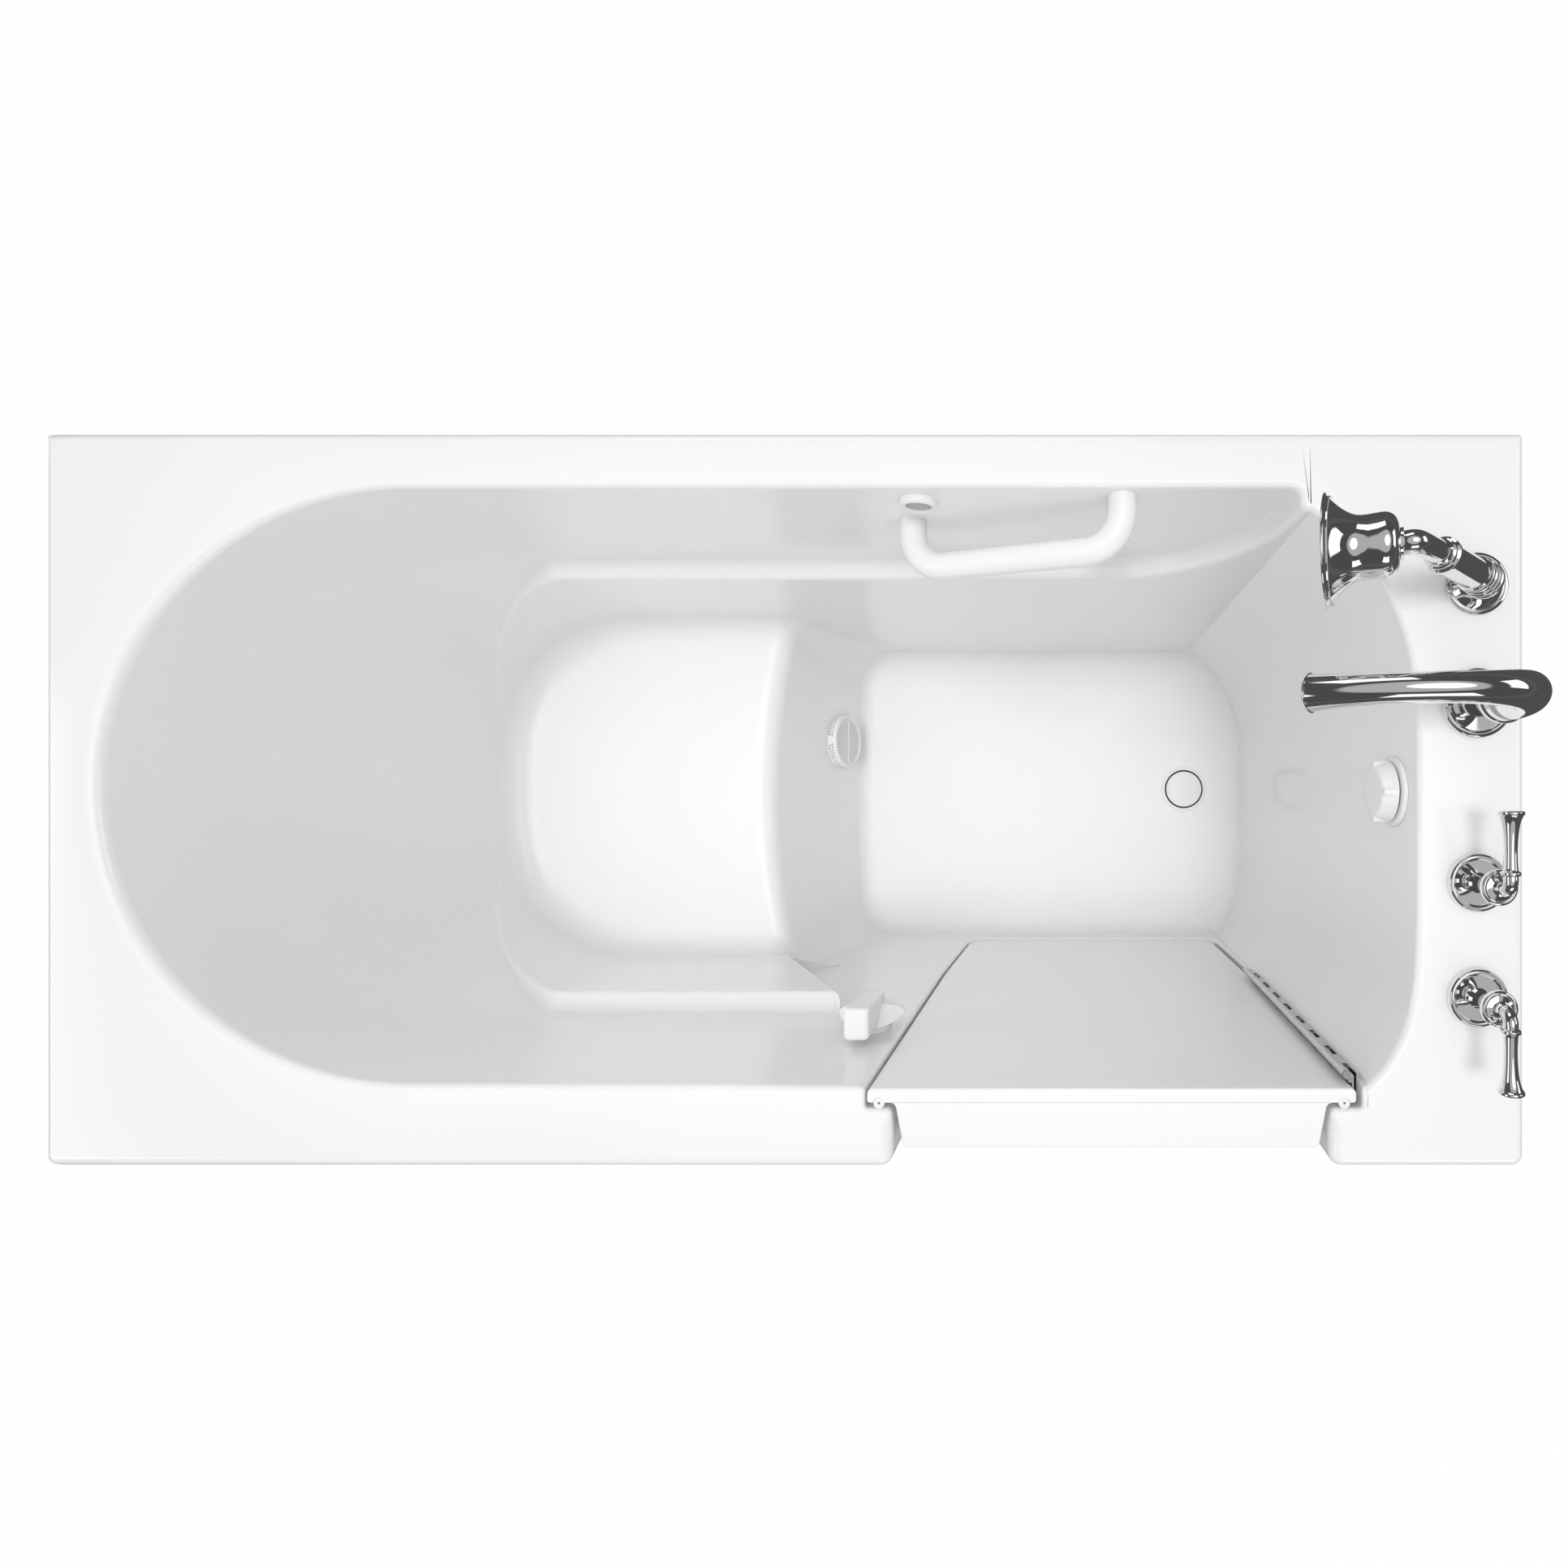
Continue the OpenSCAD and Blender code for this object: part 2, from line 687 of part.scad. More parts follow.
module end_apron_right() {
  color("whitesmoke")
    end_apron(1);
}

// ---------------------------------------------------------------- the door

door_left = pocket_left + door_gap;
door_right = pocket_right - leaf_gap;
door_low = pocket_z + door_gap;

function door_outline(in) =
  let (o = doorway(door_left + in, door_right - in, door_low + in, door_corner_r - in + 0.01))
  [for (p = o) [p[0], min(p[1], deck_z - in)]];

module body_outline(in) {
  o = doorway(pocket_left + rebate_latch + body_gap + in, pocket_right - rebate_hinge - body_gap - in,
    pocket_z + sill_h + body_gap + in, door_corner_r - 4 - in);
  polygon([for (p = o) [p[0], min(p[1], deck_z - in)]]);
}

module door_inner_panel() {
  color("white")
    difference() {
      plate_y(flange_back, flange_y)
        polygon(door_outline(0));
      plate_y(flange_back - over, flange_y - door_skin - 1)
        polygon(door_outline(rim_w));
      seal_groove();
    }
}

module door_outer_shell() {
  color("white")
    difference() {
      plate_y(body_y, flange_back)
        body_outline(0);
      plate_y(body_y + door_skin, flange_back + over)
        body_outline(door_skin);
    }
}

// a welded frame between the two skins
module door_stiffener() {
  s = stiffener_s;
  x0 = pocket_left + rebate_latch + body_gap + door_skin + door_taper + 12;
  x1 = pocket_right - rebate_hinge - body_gap - door_skin - door_taper - 12;
  z0 = pocket_z + sill_h + body_gap + door_skin + 14;
  z1 = deck_z - rim_w - slit;
  y0 = body_y + door_skin + slit;
  y1 = flange_y - door_skin - 1 - slit;
  color("slategray")
    difference() {
      union() {
        box([x0, y0, z0], [x0 + s, y1, z1]);
        box([x1 - s, y0, z0], [x1, y1, z1]);
        for (z = [z0, (z0 + z1) / 2, z1 - s])
          box([x0, y0, z], [x1, y1, z + s]);
      }
      for (x = [x0, x1 - s])
        box([x + tube_t, y0 + tube_t, z0 + tube_t], [x + s - tube_t, y1 - tube_t, z1 - tube_t]);
      for (z = [z0, (z0 + z1) / 2, z1 - s])
        box([x0 + tube_t, y0 + tube_t, z + tube_t], [x1 - tube_t, y1 - tube_t, z + s - tube_t]);
    }
}

// the seal's route, down one side, along the sill and up the other
seal_in = 12.5;
seal_bend = door_corner_r - seal_in;

function seal_route(run_on) = bent([
  [door_left + seal_in, seal_y, deck_z - 0.5 + run_on], [door_left + seal_in, seal_y, taper_z],
  [door_left + seal_in + door_taper, seal_y, door_low + seal_in],
  [door_right - seal_in - door_taper, seal_y, door_low + seal_in],
  [door_right - seal_in, seal_y, taper_z],
  [door_right - seal_in, seal_y, deck_z - 0.5 + run_on]], seal_bend);

module seal_groove() {
  route = seal_route(over);
  sweep(route, [for (p = route) seal_d / 2 + run_fit]);
}

module door_seal() {
  route = seal_route(0);
  color("white")
    sweep(route, [for (p = route) seal_d / 2], [for (p = route) seal_d / 2 - 2]);
}

// ---------------------------------------------------------------- hinge

knuckle_l = hinge_l / knuckles;

module knuckle(i, r_in) {
  translate([pin_x, pin_y, hinge_z + i * knuckle_l + slit / 2])
    difference() {
      cylinder(h = knuckle_l - slit, r = barrel_d / 2);
      translate([0, 0, -over])
        cylinder(h = knuckle_l + 2 * over, r = r_in);
    }
}

// the leaf on the door's edge, with every second knuckle
module hinge_door_leaf() {
  x0 = door_right + 0.05;
  color("gray")
    union() {
      box([x0, flange_back + 1, hinge_z], [x0 + leaf_t, flange_y + 1.5, hinge_z + hinge_l]);
      for (i = [1:2:knuckles - 1]) {
        knuckle(i, pin_d / 2 + run_fit);
        box([pin_x + pin_d / 2 + 0.8, flange_y + 1, hinge_z + i * knuckle_l + slit / 2],
          [x0 + leaf_t, pin_y - 1, hinge_z + (i + 1) * knuckle_l - slit / 2]);
      }
    }
}

// the leaf on the pocket's side, which carries the pin
module hinge_jamb_leaf() {
  x1 = pocket_right - 0.05;
  color("gray")
    union() {
      box([x1 - leaf_t, pocket_y + 2, hinge_z], [x1, pin_y + leaf_t - 0.5, hinge_z + hinge_l]);
      for (i = [0:2:knuckles - 2]) {
        knuckle(i, pin_d / 2);
        box([pin_x + pin_d / 2 + 0.8, pin_y - 0.5, hinge_z + i * knuckle_l + slit / 2],
          [x1, pin_y + leaf_t - 0.5, hinge_z + (i + 1) * knuckle_l - slit / 2]);
      }
    }
}

module hinge_pin() {
  color("silver")
    translate([pin_x, pin_y, hinge_z - 2])
      union() {
        cylinder(h = hinge_l + 3, r = pin_d / 2);
        translate([0, 0, hinge_l + 2 + slit])
          cylinder(h = 2, r = barrel_d / 2 - 0.5);
      }
}

// ---------------------------------------------------------------- latch

bushing_r = 11;
spindle_r = 6;
cam_y = well_front + 5;
bushing_end = foot_front - wall_t - 12;
latch_nut_h = 8;

module latch_bushing() {
  color("white")
    difference() {
      union() {
        rod([latch_x, foot_front, latch_z], [latch_x, cam_y - slit, latch_z], 24);
        rod([latch_x, bushing_end, latch_z], [latch_x, foot_front, latch_z], bushing_r);
      }
      rod([latch_x, bushing_end - over, latch_z], [latch_x, cam_y + over, latch_z],
        spindle_r + run_fit);
    }
}

// the outline of an eye: two arcs that meet in points
module eye(l, h) {
  r = (l * l + h * h) / (4 * h);
  intersection() {
    translate([0, r - h / 2])
      circle(r, $fn = 96);
    translate([0, h / 2 - r])
      circle(r, $fn = 96);
  }
}

module latch_lever() {
  color("white")
    union() {
      hull() {
        plate_y(cam_y, cam_y + 16)
          translate([latch_x, latch_z])
            eye(cam_l, cam_h);
        plate_y(cam_y, cam_y + 33)
          translate([latch_x, latch_z])
            eye(cam_l * 0.55, cam_h * 0.6);
      }
      hull() {
        plate_y(cam_y + 2, cam_y + 38)
          translate([latch_x - lever_w / 2, latch_z])
            square([lever_w, 10]);
        plate_y(cam_y + 2, cam_y + 40)
          polygon(round_rect(latch_x - lever_w / 2, latch_z + lever_h - 20, latch_x + lever_w / 2,
            latch_z + lever_h, [2, 2, 7, 7]));
      }
      rod([latch_x, bushing_end - latch_nut_h - 4, latch_z], [latch_x, cam_y + 2, latch_z], spindle_r);
    }
}

module latch_nut() {
  color("silver")
    difference() {
      aim([latch_x, bushing_end - slit, latch_z], [0, -1, 0])
        cylinder(h = latch_nut_h, r = bushing_r + 0.5, $fn = 6);
      rod([latch_x, bushing_end - latch_nut_h - 2, latch_z], [latch_x, bushing_end + over, latch_z],
        spindle_r);
    }
}

// ---------------------------------------------------------------- grab bar and air switch

bar_px = well_right - bar_x;
bar_stud_r = 6;
bar_feet = [[bar_px, bar_z], [bar_px + bar_l * cos(bar_tilt), bar_z + bar_l * sin(bar_tilt)]];

module grab_bar() {
  a = bar_feet[0];
  b = bar_feet[1];
  color("white")
    bent_rod([
      [a[0], well_back, a[1]], [a[0], well_back - bar_off, a[1]],
      [b[0], well_back - bar_off, b[1]], [b[0], well_back, b[1]]], bar_d / 2, bar_bend, 32);
}

module grab_bar_fixings() {
  color("silver")
    for (f = bar_feet) {
      rod([f[0], well_back, f[1]], [f[0], well_back + wall_t + 12, f[1]], bar_stud_r);
      rod([f[0], well_back + wall_t, f[1]], [f[0], well_back + wall_t + 2, f[1]], 18);
      aim([f[0], well_back + wall_t + 2, f[1]], [0, 1, 0])
        cylinder(h = 8, r = 11, $fn = 6);
    }
}

switch_px = well_right - switch_x;
switch_neck_r = 15;
switch_back = well_back + wall_t + 12;
switch_nut_h = 4;
button_root = -8;

module switch_turn(profile) {
  aim([switch_px, well_back, switch_z], [0, -1, 0])
    rotate_extrude()
      polygon(profile);
}

module air_switch_body() {
  r = switch_d / 2;
  b = button_d / 2 + slit;
  color("white")
    difference() {
      switch_turn(concat(
        [[0, well_back - switch_back], [switch_neck_r, well_back - switch_back], [switch_neck_r, 0]],
        arc([r - 4, 4], 4, 4, -90, 90, 8), [[0, 8]]));
      switch_turn([[0, button_root - button_travel - slit], [b, button_root - button_travel - slit],
        [b, 9], [0, 9]]);
    }
}

module air_switch_button() {
  color("lightgray")
    switch_turn([[0, button_root], [button_d / 2, button_root], [button_d / 2, 5.5],
      [button_d / 2 - 1.5, 7], [0, 6.4]]);
}

module air_switch_nut() {
  color("white")
    difference() {
      aim([switch_px, well_back + wall_t, switch_z], [0, 1, 0])
        cylinder(h = switch_nut_h, r = switch_neck_r + 6, $fn = 8);
      rod([switch_px, well_back, switch_z], [switch_px, well_back + wall_t + 9, switch_z],
        switch_neck_r + run_fit);
    }
}

// the tube runs behind the wall-side of the well, down to the pump's own switch
tube_r = 3;
tube_y = well_back + wall_t + switch_nut_h + tube_r + 0.5;
tube_z = ledge_z + 60;

module air_tube() {
  color("gainsboro")
    bent_rod([
      [switch_px, tube_y, switch_z - switch_neck_r - slit], [switch_px, tube_y, tube_z],
      [pump_x - 120, tube_y, tube_z], [pump_x - 120, tube_y, pump_z + 30],
      [pump_x - 120, pump_y + 62, pump_z + 30]], tube_r, 14, 8);
}

// ---------------------------------------------------------------- waste and overflow

drain_neck_r = 29;
overflow_neck_r = 24;
plate_neck_r = overflow_neck_r - slit;
elbow_r = overflow_neck_r + 4;
plate_h = 6;
knob_h = 16;
knob_gap = 7.5;
waste_r = waste_d / 2;
standpipe_r = waste_r - 2;
knob_stem_r = 5;

module overflow_turn(profile) {
  aim([well_right, drain_y, overflow_z], [-1, 0, 0])
    rotate_extrude()
      polygon(profile);
}

module overflow_plate() {
  r = overflow_d / 2;
  color("white")
    difference() {
      overflow_turn(concat(
        [[knob_stem_r + run_fit, -wall_t - 8], [plate_neck_r, -wall_t - 8]],
        [[plate_neck_r, slit], [r, slit]], arc([r - 5, 1], 5, 5, 0, 90, 6),
        [[knob_stem_r + run_fit, plate_h]]));
      for (a = [0:60:300])
        aim([well_right + wall_t + 10, drain_y, overflow_z], [-1, 0, 0])
          rotate([0, 0, a])
            translate([13, 0, 0])
              cylinder(h = 30, r = 4);
    }
}

// a soft square knob with a ridge at each corner
module overflow_knob() {
  color("white")
    union() {
      difference() {
        overflow_turn([[0, knob_gap], [knob_d / 2 - 4, knob_gap], [knob_d / 2, knob_gap + 3],
          [knob_d / 2, knob_gap + 7], [knob_d / 2 - 5, knob_h], [0, knob_h + 1.5]]);
        for (a = [0:90:270])
          aim([well_right, drain_y, overflow_z], [-1, 0, 0])
            rotate([0, 0, a])
              translate([knob_d * 0.86, 0, knob_gap - over])
                cylinder(h = knob_h, r = knob_d * 0.42);
      }
      rod([well_right - knob_gap - 1, drain_y, overflow_z],
        [well_right + wall_t + 22, drain_y, overflow_z], knob_stem_r);
    }
}

module overflow_elbow() {
  x0 = well_right + wall_t;
  r = overflow_neck_r + 12;
  color("dimgray")
    difference() {
      union() {
        rod([x0, drain_y, overflow_z], [x0 + 6, drain_y, overflow_z], r);
        rod([x0, drain_y, overflow_z], [pipe_x + 18, drain_y, overflow_z], elbow_r);
        rod([pipe_x, drain_y, overflow_z], [pipe_x, drain_y, overflow_z - 62], standpipe_r + 4);
      }
      rod([x0 - over, drain_y, overflow_z], [pipe_x + 14, drain_y, overflow_z], overflow_neck_r);
      rod([pipe_x, drain_y, overflow_z], [pipe_x, drain_y, overflow_z - 64], standpipe_r + run_fit);
    }
}

module overflow_pipe() {
  color("whitesmoke")
    straight_pipe([pipe_x, drain_y, pipe_z + 22], [pipe_x, drain_y, overflow_z - 34], standpipe_r, 2.5);
}

// a pull cable from the knob to the stopper, clipped to the overflow pipe
cable_r = 3;

module drain_cable() {
  y = drain_y - overflow_neck_r - 18;
  color("dimgray")
    bent_rod([
      [pipe_x, drain_y - elbow_r - slit, overflow_z], [pipe_x, y, overflow_z],
      [pipe_x, y, pipe_z], [drain_x + 60, y, pipe_z], [drain_x + 60, drain_y - shoe_r + 2 - slit, pipe_z]],
      cable_r, 9, 8);
}

module drain_flange() {
  r = drain_d / 2;
  color("white")
    translate([drain_x, drain_y, floor_z])
      difference() {
        rotate_extrude()
          polygon([
            [drain_neck_r - 4, -wall_t - 14], [drain_neck_r, -wall_t - 14], [drain_neck_r, 0],
            [r, 0], [r - 1, 2], [stopper_d / 2 + 2, 4], [stopper_d / 2 + 1, 2], [drain_neck_r - 4, 1]]);
        translate([0, 0, -40])
          cylinder(h = 60, r = drain_neck_r - 5);
      }
}

module drain_stopper() {
  r = stopper_d / 2;
  color("white")
    translate([drain_x, drain_y, floor_z])
      rotate_extrude()
        polygon([
          [0, -wall_t - 13], [4, -wall_t - 13], [4, 1.5], [r - 3, 2.3], [r, 3.5],
          [r - 1.5, 5.5], [r * 0.6, 7.5], [0, 8.5]]);
}

shoe_r = waste_r + 5;
shoe_foot = pipe_z - 24;
tail_neck_r = waste_r - 1.5;

module drain_shoe() {
  color("dimgray")
    difference() {
      union() {
        rod([drain_x, drain_y, pipe_z - 21], [drain_x, drain_y, floor_z - wall_t], drain_neck_r + 5);
        rod([drain_x, drain_y, pipe_z], [pipe_x, drain_y, pipe_z], shoe_r - 2);
        rod([pipe_x, drain_y, shoe_foot], [pipe_x, drain_y, pipe_z + 44], shoe_r);
        rod([pipe_x, drain_y, pipe_z], [pipe_x, drain_y + 44, pipe_z], discharge_r + 3);
      }
      rod([drain_x, drain_y, pipe_z - 16], [drain_x, drain_y, floor_z], drain_neck_r + run_fit);
      rod([drain_x, drain_y, pipe_z], [pipe_x, drain_y, pipe_z], 15);
      rod([pipe_x, drain_y, shoe_foot - over], [pipe_x, drain_y, pipe_z], tail_neck_r + run_fit);
      rod([pipe_x, drain_y, pipe_z - 8], [pipe_x, drain_y, pipe_z + 45], standpipe_r + run_fit);
      rod([pipe_x, drain_y, pipe_z], [pipe_x, drain_y + 45, pipe_z], discharge_r + run_fit);
    }
}

// the tailpiece necks down where it enters the shoe
tail_low = 3;

module drain_tailpiece() {
  shoulder = shoe_foot - slit;
  color("silver")
    difference() {
      union() {
        rod([pipe_x, drain_y, tail_low], [pipe_x, drain_y, shoulder], waste_r);
        rod([pipe_x, drain_y, shoulder - over], [pipe_x, drain_y, pipe_z - 12], tail_neck_r);
      }
      rod([pipe_x, drain_y, tail_low - over], [pipe_x, drain_y, pipe_z - 11], tail_neck_r - 2);
    }
}

// ---------------------------------------------------------------- quick drain

suction_neck_r = 24;
riser_lean = atan(riser_run / (seat_z - floor_z));
suction_dir = [cos(riser_lean), 0, sin(riser_lean)];
suction_drop = (seat_z - suction_z) / (seat_z - floor_z);
suction_bow = pow((suction_y - mid_low()) / ((low_back - low_front) / 2), 2);
suction_at = [
  seat_edge + riser_run * suction_drop + suction_bow * (seat_bow + (6 - seat_bow) * suction_drop) - 1,
  suction_y, suction_z];
pump_x = seat_left + 210;
pump_y = 40;
pump_z = 190;
shaft_r = 5;
discharge_r = 16;
discharge_x = pump_x - 4;
discharge_y = pump_y - 28;
discharge_run = drain_y + 120;
pump_sole = pump_z - 66;
suction_lead = 50;
suction_turn = pump_x + 84;

module suction_cover() {
  r = suction_d / 2;
  color("white")
    aim(suction_at, suction_dir)
      difference() {
        translate([0, 0, slit])
          rotate_extrude()
            polygon(concat([[0, 0], [r, 0]], arc([r - 6, 12], 6, 6, 0, 90, 5), [[0, 18]]));
        translate([0, 0, -over])
          cylinder(h = 15, r = r - 4);
        for (k = [0:11])
          rotate([0, 0, 30 * k])
            translate([r * 0.62, 0, 0])
              cylinder(h = 40, r = 2.4, $fn = 16);
        for (k = [0:35])
          rotate([0, 0, 10 * k])
            translate([r - 9, 0, 10])
              rotate([0, 90, 0])
                cylinder(h = 14, r = 1.8, $fn = 16);
      }
}

module suction_body() {
  color("white")
    aim(suction_at, suction_dir)
      difference() {
        union() {
          translate([0, 0, -34])
            cylinder(h = 37, r = suction_neck_r);
          cylinder(h = 3, r = suction_d / 2 - 5);
          translate([0, 0, -wall_t - 11])
            cylinder(h = 8, r = suction_neck_r + 8, $fn = 8);
        }
        translate([0, 0, -36])
          cylinder(h = 50, r = suction_neck_r - 5);
      }
}

module suction_pipe() {
  a = suction_at - suction_dir * 20;
  color("whitesmoke")
    bent_pipe([a, a - suction_dir * suction_lead,
      [suction_turn, suction_y, pump_z], [suction_turn, pump_y, pump_z],
      [pump_x + 27, pump_y, pump_z]], suction_neck_r - 5 - run_fit, 30, 2.5);
}

module pump_volute() {
  color("dimgray")
    difference() {
      union() {
        rod([pump_x - 24, pump_y, pump_z], [pump_x + 16, pump_y, pump_z], 52);
        rod([pump_x + 14, pump_y, pump_z], [pump_x + 50, pump_y, pump_z], 24);
        rod([discharge_x, discharge_y, pump_z], [discharge_x, discharge_y, pump_z - 70], discharge_r + 3);
      }
      rod([pump_x - 18, pump_y, pump_z], [pump_x + 10, pump_y, pump_z], 46);
      rod([pump_x, pump_y, pump_z], [pump_x + 51, pump_y, pump_z], suction_neck_r - 5);
      rod([pump_x - 25, pump_y, pump_z], [pump_x, pump_y, pump_z], shaft_r + run_fit);
      rod([discharge_x, discharge_y, pump_z], [discharge_x, discharge_y, pump_z - 71], discharge_r + run_fit);
    }
}

module pump_rotor() {
  color("gainsboro")
    union() {
      rod([pump_x - 14, pump_y, pump_z], [pump_x - 10, pump_y, pump_z], 42);
      for (a = [0:60:300])
        translate([pump_x - 10.5, pump_y, pump_z])
          rotate([a, 0, 0])
            translate([0, 8, -1.5])
              cube([14, 32, 3]);
      rod([pump_x - 60, pump_y, pump_z], [pump_x - 2, pump_y, pump_z], shaft_r);
    }
}

module pump_motor() {
  color("black")
    difference() {
      union() {
        rod([pump_x - 170, pump_y, pump_z], [pump_x - 24 - slit, pump_y, pump_z], 58);
        box([pump_x - 150, pump_y - 40, pump_sole], [pump_x - 50, pump_y + 40, pump_z - 40]);
        box([pump_x - 140, pump_y - 30, pump_z + 30], [pump_x - 70, pump_y + 30, pump_z + 78]);
        rod([pump_x - 120, pump_y, pump_z + 30], [pump_x - 120, pump_y + 62, pump_z + 30], 5);
      }
      rod([pump_x - 64, pump_y, pump_z], [pump_x, pump_y, pump_z], shaft_r + run_fit);
    }
}

module pump_base() {
  z = cross_z + tube_s;
  color("silver")
    difference() {
      union() {
        box([seat_rails[0] - tube_s / 2, pump_y - 50, z], [seat_rails[1] + tube_s / 2, pump_y + 50, z + 4]);
        for (x = [pump_x - 150, pump_x - 60])
          box([x, pump_y - 40, z + 3], [x + 10, pump_y + 40, pump_sole]);
      }
      rod([discharge_x, discharge_y, z - over], [discharge_x, discharge_y, z + 4 + over], discharge_r + 3);
    }
}

module discharge_pipe() {
  y = discharge_run;
  color("whitesmoke")
    bent_pipe([[discharge_x, discharge_y, pump_z - 40], [discharge_x, discharge_y, pipe_z],
      [discharge_x, y, pipe_z], [pipe_x, y, pipe_z], [pipe_x, drain_y + 20, pipe_z]],
      discharge_r, 28, 2.5);
}

// ---------------------------------------------------------------- spout

shank_r = 13;
valve_neck_r = 13;
spout_rise = 62;
spout_foot = [tap_x + 3, spout_y, deck_z + spout_rise];
spout_curve = [
  spout_foot + [0, 0, 3], spout_foot + [3, 0, 84],
  [spout_foot[0] - spout_reach * 0.61, spout_y, deck_z + spout_out_z + 66],
  [spout_foot[0] - spout_reach, spout_y, deck_z + spout_out_z]];

function spout_r(t) = t < 0.67
  ? 13.7 + 8.3 * pow(1 - t / 0.67, 1.6)
  : 13.7 + 4.3 * pow((t - 0.67) / 0.33, 2);

module spout() {
  n = 22;
  route = concat([spout_foot], [for (i = [0:n]) bezier(spout_curve, i / n)]);
  tip = unit(route[n + 1] - route[n]);
  color("silver")
    difference() {
      sweep(route, concat([spout_r(0)], [for (i = [0:n]) spout_r(i / n)]), sides = 20);
      aim(route[n + 1] + tip, -tip)
        cylinder(h = 16, r = 13);
    }
}

module spout_flange() {
  r = spout_flange_d / 2;
  h = spout_rise;
  color("silver")
    translate([tap_x, spout_y, deck_z])
      difference() {
        rotate_extrude()
          polygon([
            [0, 0], [r, 0], [r, 4], [r - 3, 7], [r * 0.68, 10], [r * 0.58, 18], [r * 0.55, 32],
            [r * 0.58, 46], [r * 0.69, 51], [r * 0.69, 57], [r * 0.62, h - 0.1], [0, h - 0.1]]);
        translate([0, 0, -over])
          cylinder(h = 24, r = shank_r + run_fit);
      }
}

// a threaded shank and its back nut, clamping a fitting through the deck
module deck_shank(y, low) {
  difference() {
    union() {
      translate([tap_x, y, low])
        cylinder(h = deck_z + 20 - low, r = shank_r);
      translate([tap_x, y, deck_z - wall_t - 8])
        cylinder(h = 8, r = shank_r + 9, $fn = 6);
    }
    translate([tap_x, y, low - over])
      cylinder(h = deck_z - low, r = shank_r - 4);
  }
}

manifold_z = deck_z - 75;

module spout_shank() {
  color("darkgoldenrod")
    deck_shank(spout_y, manifold_z + 14);
}

// ---------------------------------------------------------------- valves and handles

// a quarter-turn valve; the second one passes its water on through the first
module valve(y, back) {
  color("darkgoldenrod")
    difference() {
      union() {
        translate([tap_x, y, manifold_z - 20])
          cylinder(h = deck_z - wall_t - 8 - manifold_z + 20, r = 20);
        translate([tap_x, y, deck_z - wall_t - 8])
          cylinder(h = wall_t + 8 + 5, r = valve_neck_r);
        translate([tap_x, y, manifold_z - 60])
          cylinder(h = 60, r = 10.5);
        translate([tap_x, y, deck_z - wall_t - 8])
          cylinder(h = 8, r = valve_neck_r + 9, $fn = 6);
      }
      translate([tap_x, y, manifold_z + 12 - slit])
        cylinder(h = deck_z, r = stem_r + run_fit);
      rod([tap_x, y, manifold_z - 61], [tap_x, y, manifold_z + 2], 7);
      rod([tap_x, y - back, manifold_z], [tap_x, y + 30, manifold_z], 8 + run_fit);
    }
}

stem_r = 4;

module escutcheon(y) {
  r = handle_flange_d / 2;
  color("silver")
    translate([tap_x, y, deck_z])
      difference() {
        rotate_extrude()
          polygon([
            [0, 0], [r, 0], [r, 4], [r - 2.5, 7], [r - 6, 6.5], [r * 0.55, 7.5], [r * 0.38, 12],
            [r * 0.3, 24], [r * 0.36, lever_z - 26], [0, lever_z - 26]]);
        translate([0, 0, -over])
          cylinder(h = 6.3, r = valve_neck_r + run_fit);
        cylinder(h = lever_z, r = stem_r + run_fit);
      }
}

// a lever handle with its stem; the lever runs along +Y or -Y
module lever_handle(y, way) {
  color("silver")
    union() {
      translate([tap_x, y, deck_z])
        rotate_extrude()
          polygon([
            [0, lever_z - 25.5], [13, lever_z - 25.5], [17.7, lever_z - 22], [17.7, lever_z - 18],
            [12, lever_z - 15], [7.5, lever_z - 9], [7, lever_z], [0, lever_z]]);
      translate([tap_x, y, deck_z + lever_z])
        sphere(r = 8.2);
      aim([tap_x, y, deck_z + lever_z], [0, way, 0])
        rotate_extrude()
          polygon([
            [0, 0], [6.5, 0], [6.5, 12], [9, 14], [9, 18], [6.5, 20], [5.8, 38], [6.6, 54],
            [8.5, lever_reach - 8], [12, lever_reach - 3], [12, lever_reach - 1],
            [10.5, lever_reach], [0, lever_reach]]);
      translate([tap_x, y, manifold_z + 12])
        cylinder(h = deck_z + lever_z - 22 - manifold_z - 12, r = stem_r);
    }
}

module cold_valve() { valve(cold_y, 30); }
module hot_valve() { valve(hot_y, 0); }
module cold_escutcheon() { escutcheon(cold_y); }
module hot_escutcheon() { escutcheon(hot_y); }
module cold_handle() { lever_handle(cold_y, 1); }
module hot_handle() { lever_handle(hot_y, -1); }

// mixed water runs from the valves round the overflow to the spout, and on to the hand shower
manifold_bow = 24;

module supply_manifold() {
  z = manifold_z;
  detour = [
    [tap_x, cold_y + 12, z], [tap_x, cold_y + 34, z], [tap_x + manifold_bow, cold_y + 58, z],
    [tap_x + manifold_bow, spout_y - 52, z], [tap_x, spout_y - 28, z], [tap_x, spout_y - 4, z]];
  color("peru")
    difference() {
      union() {
        rod([tap_x, hot_y + 12, z], [tap_x, cold_y - 12, z], 8);
        bent_rod(detour, 8, 14);
        rod([tap_x, spout_y, z], [tap_x, shower_y, z], 9);
        for (y = [spout_y, shower_y])
          rod([tap_x, y, z - 12], [tap_x, y, z + 30], shank_r + 4);
      }
      rod([tap_x, hot_y, z], [tap_x, cold_y, z], 6.5);
      bent_rod(concat([[tap_x, cold_y + 10, z]], [for (i = [1:5]) detour[i]]), 6.5, 14);
      rod([tap_x, spout_y - 6, z], [tap_x, shower_y - 2, z], 6.5);
      for (y = [spout_y, shower_y])
        rod([tap_x, y, z + 14], [tap_x, y, z + 31], shank_r + run_fit);
    }
}

// ---------------------------------------------------------------- hand shower

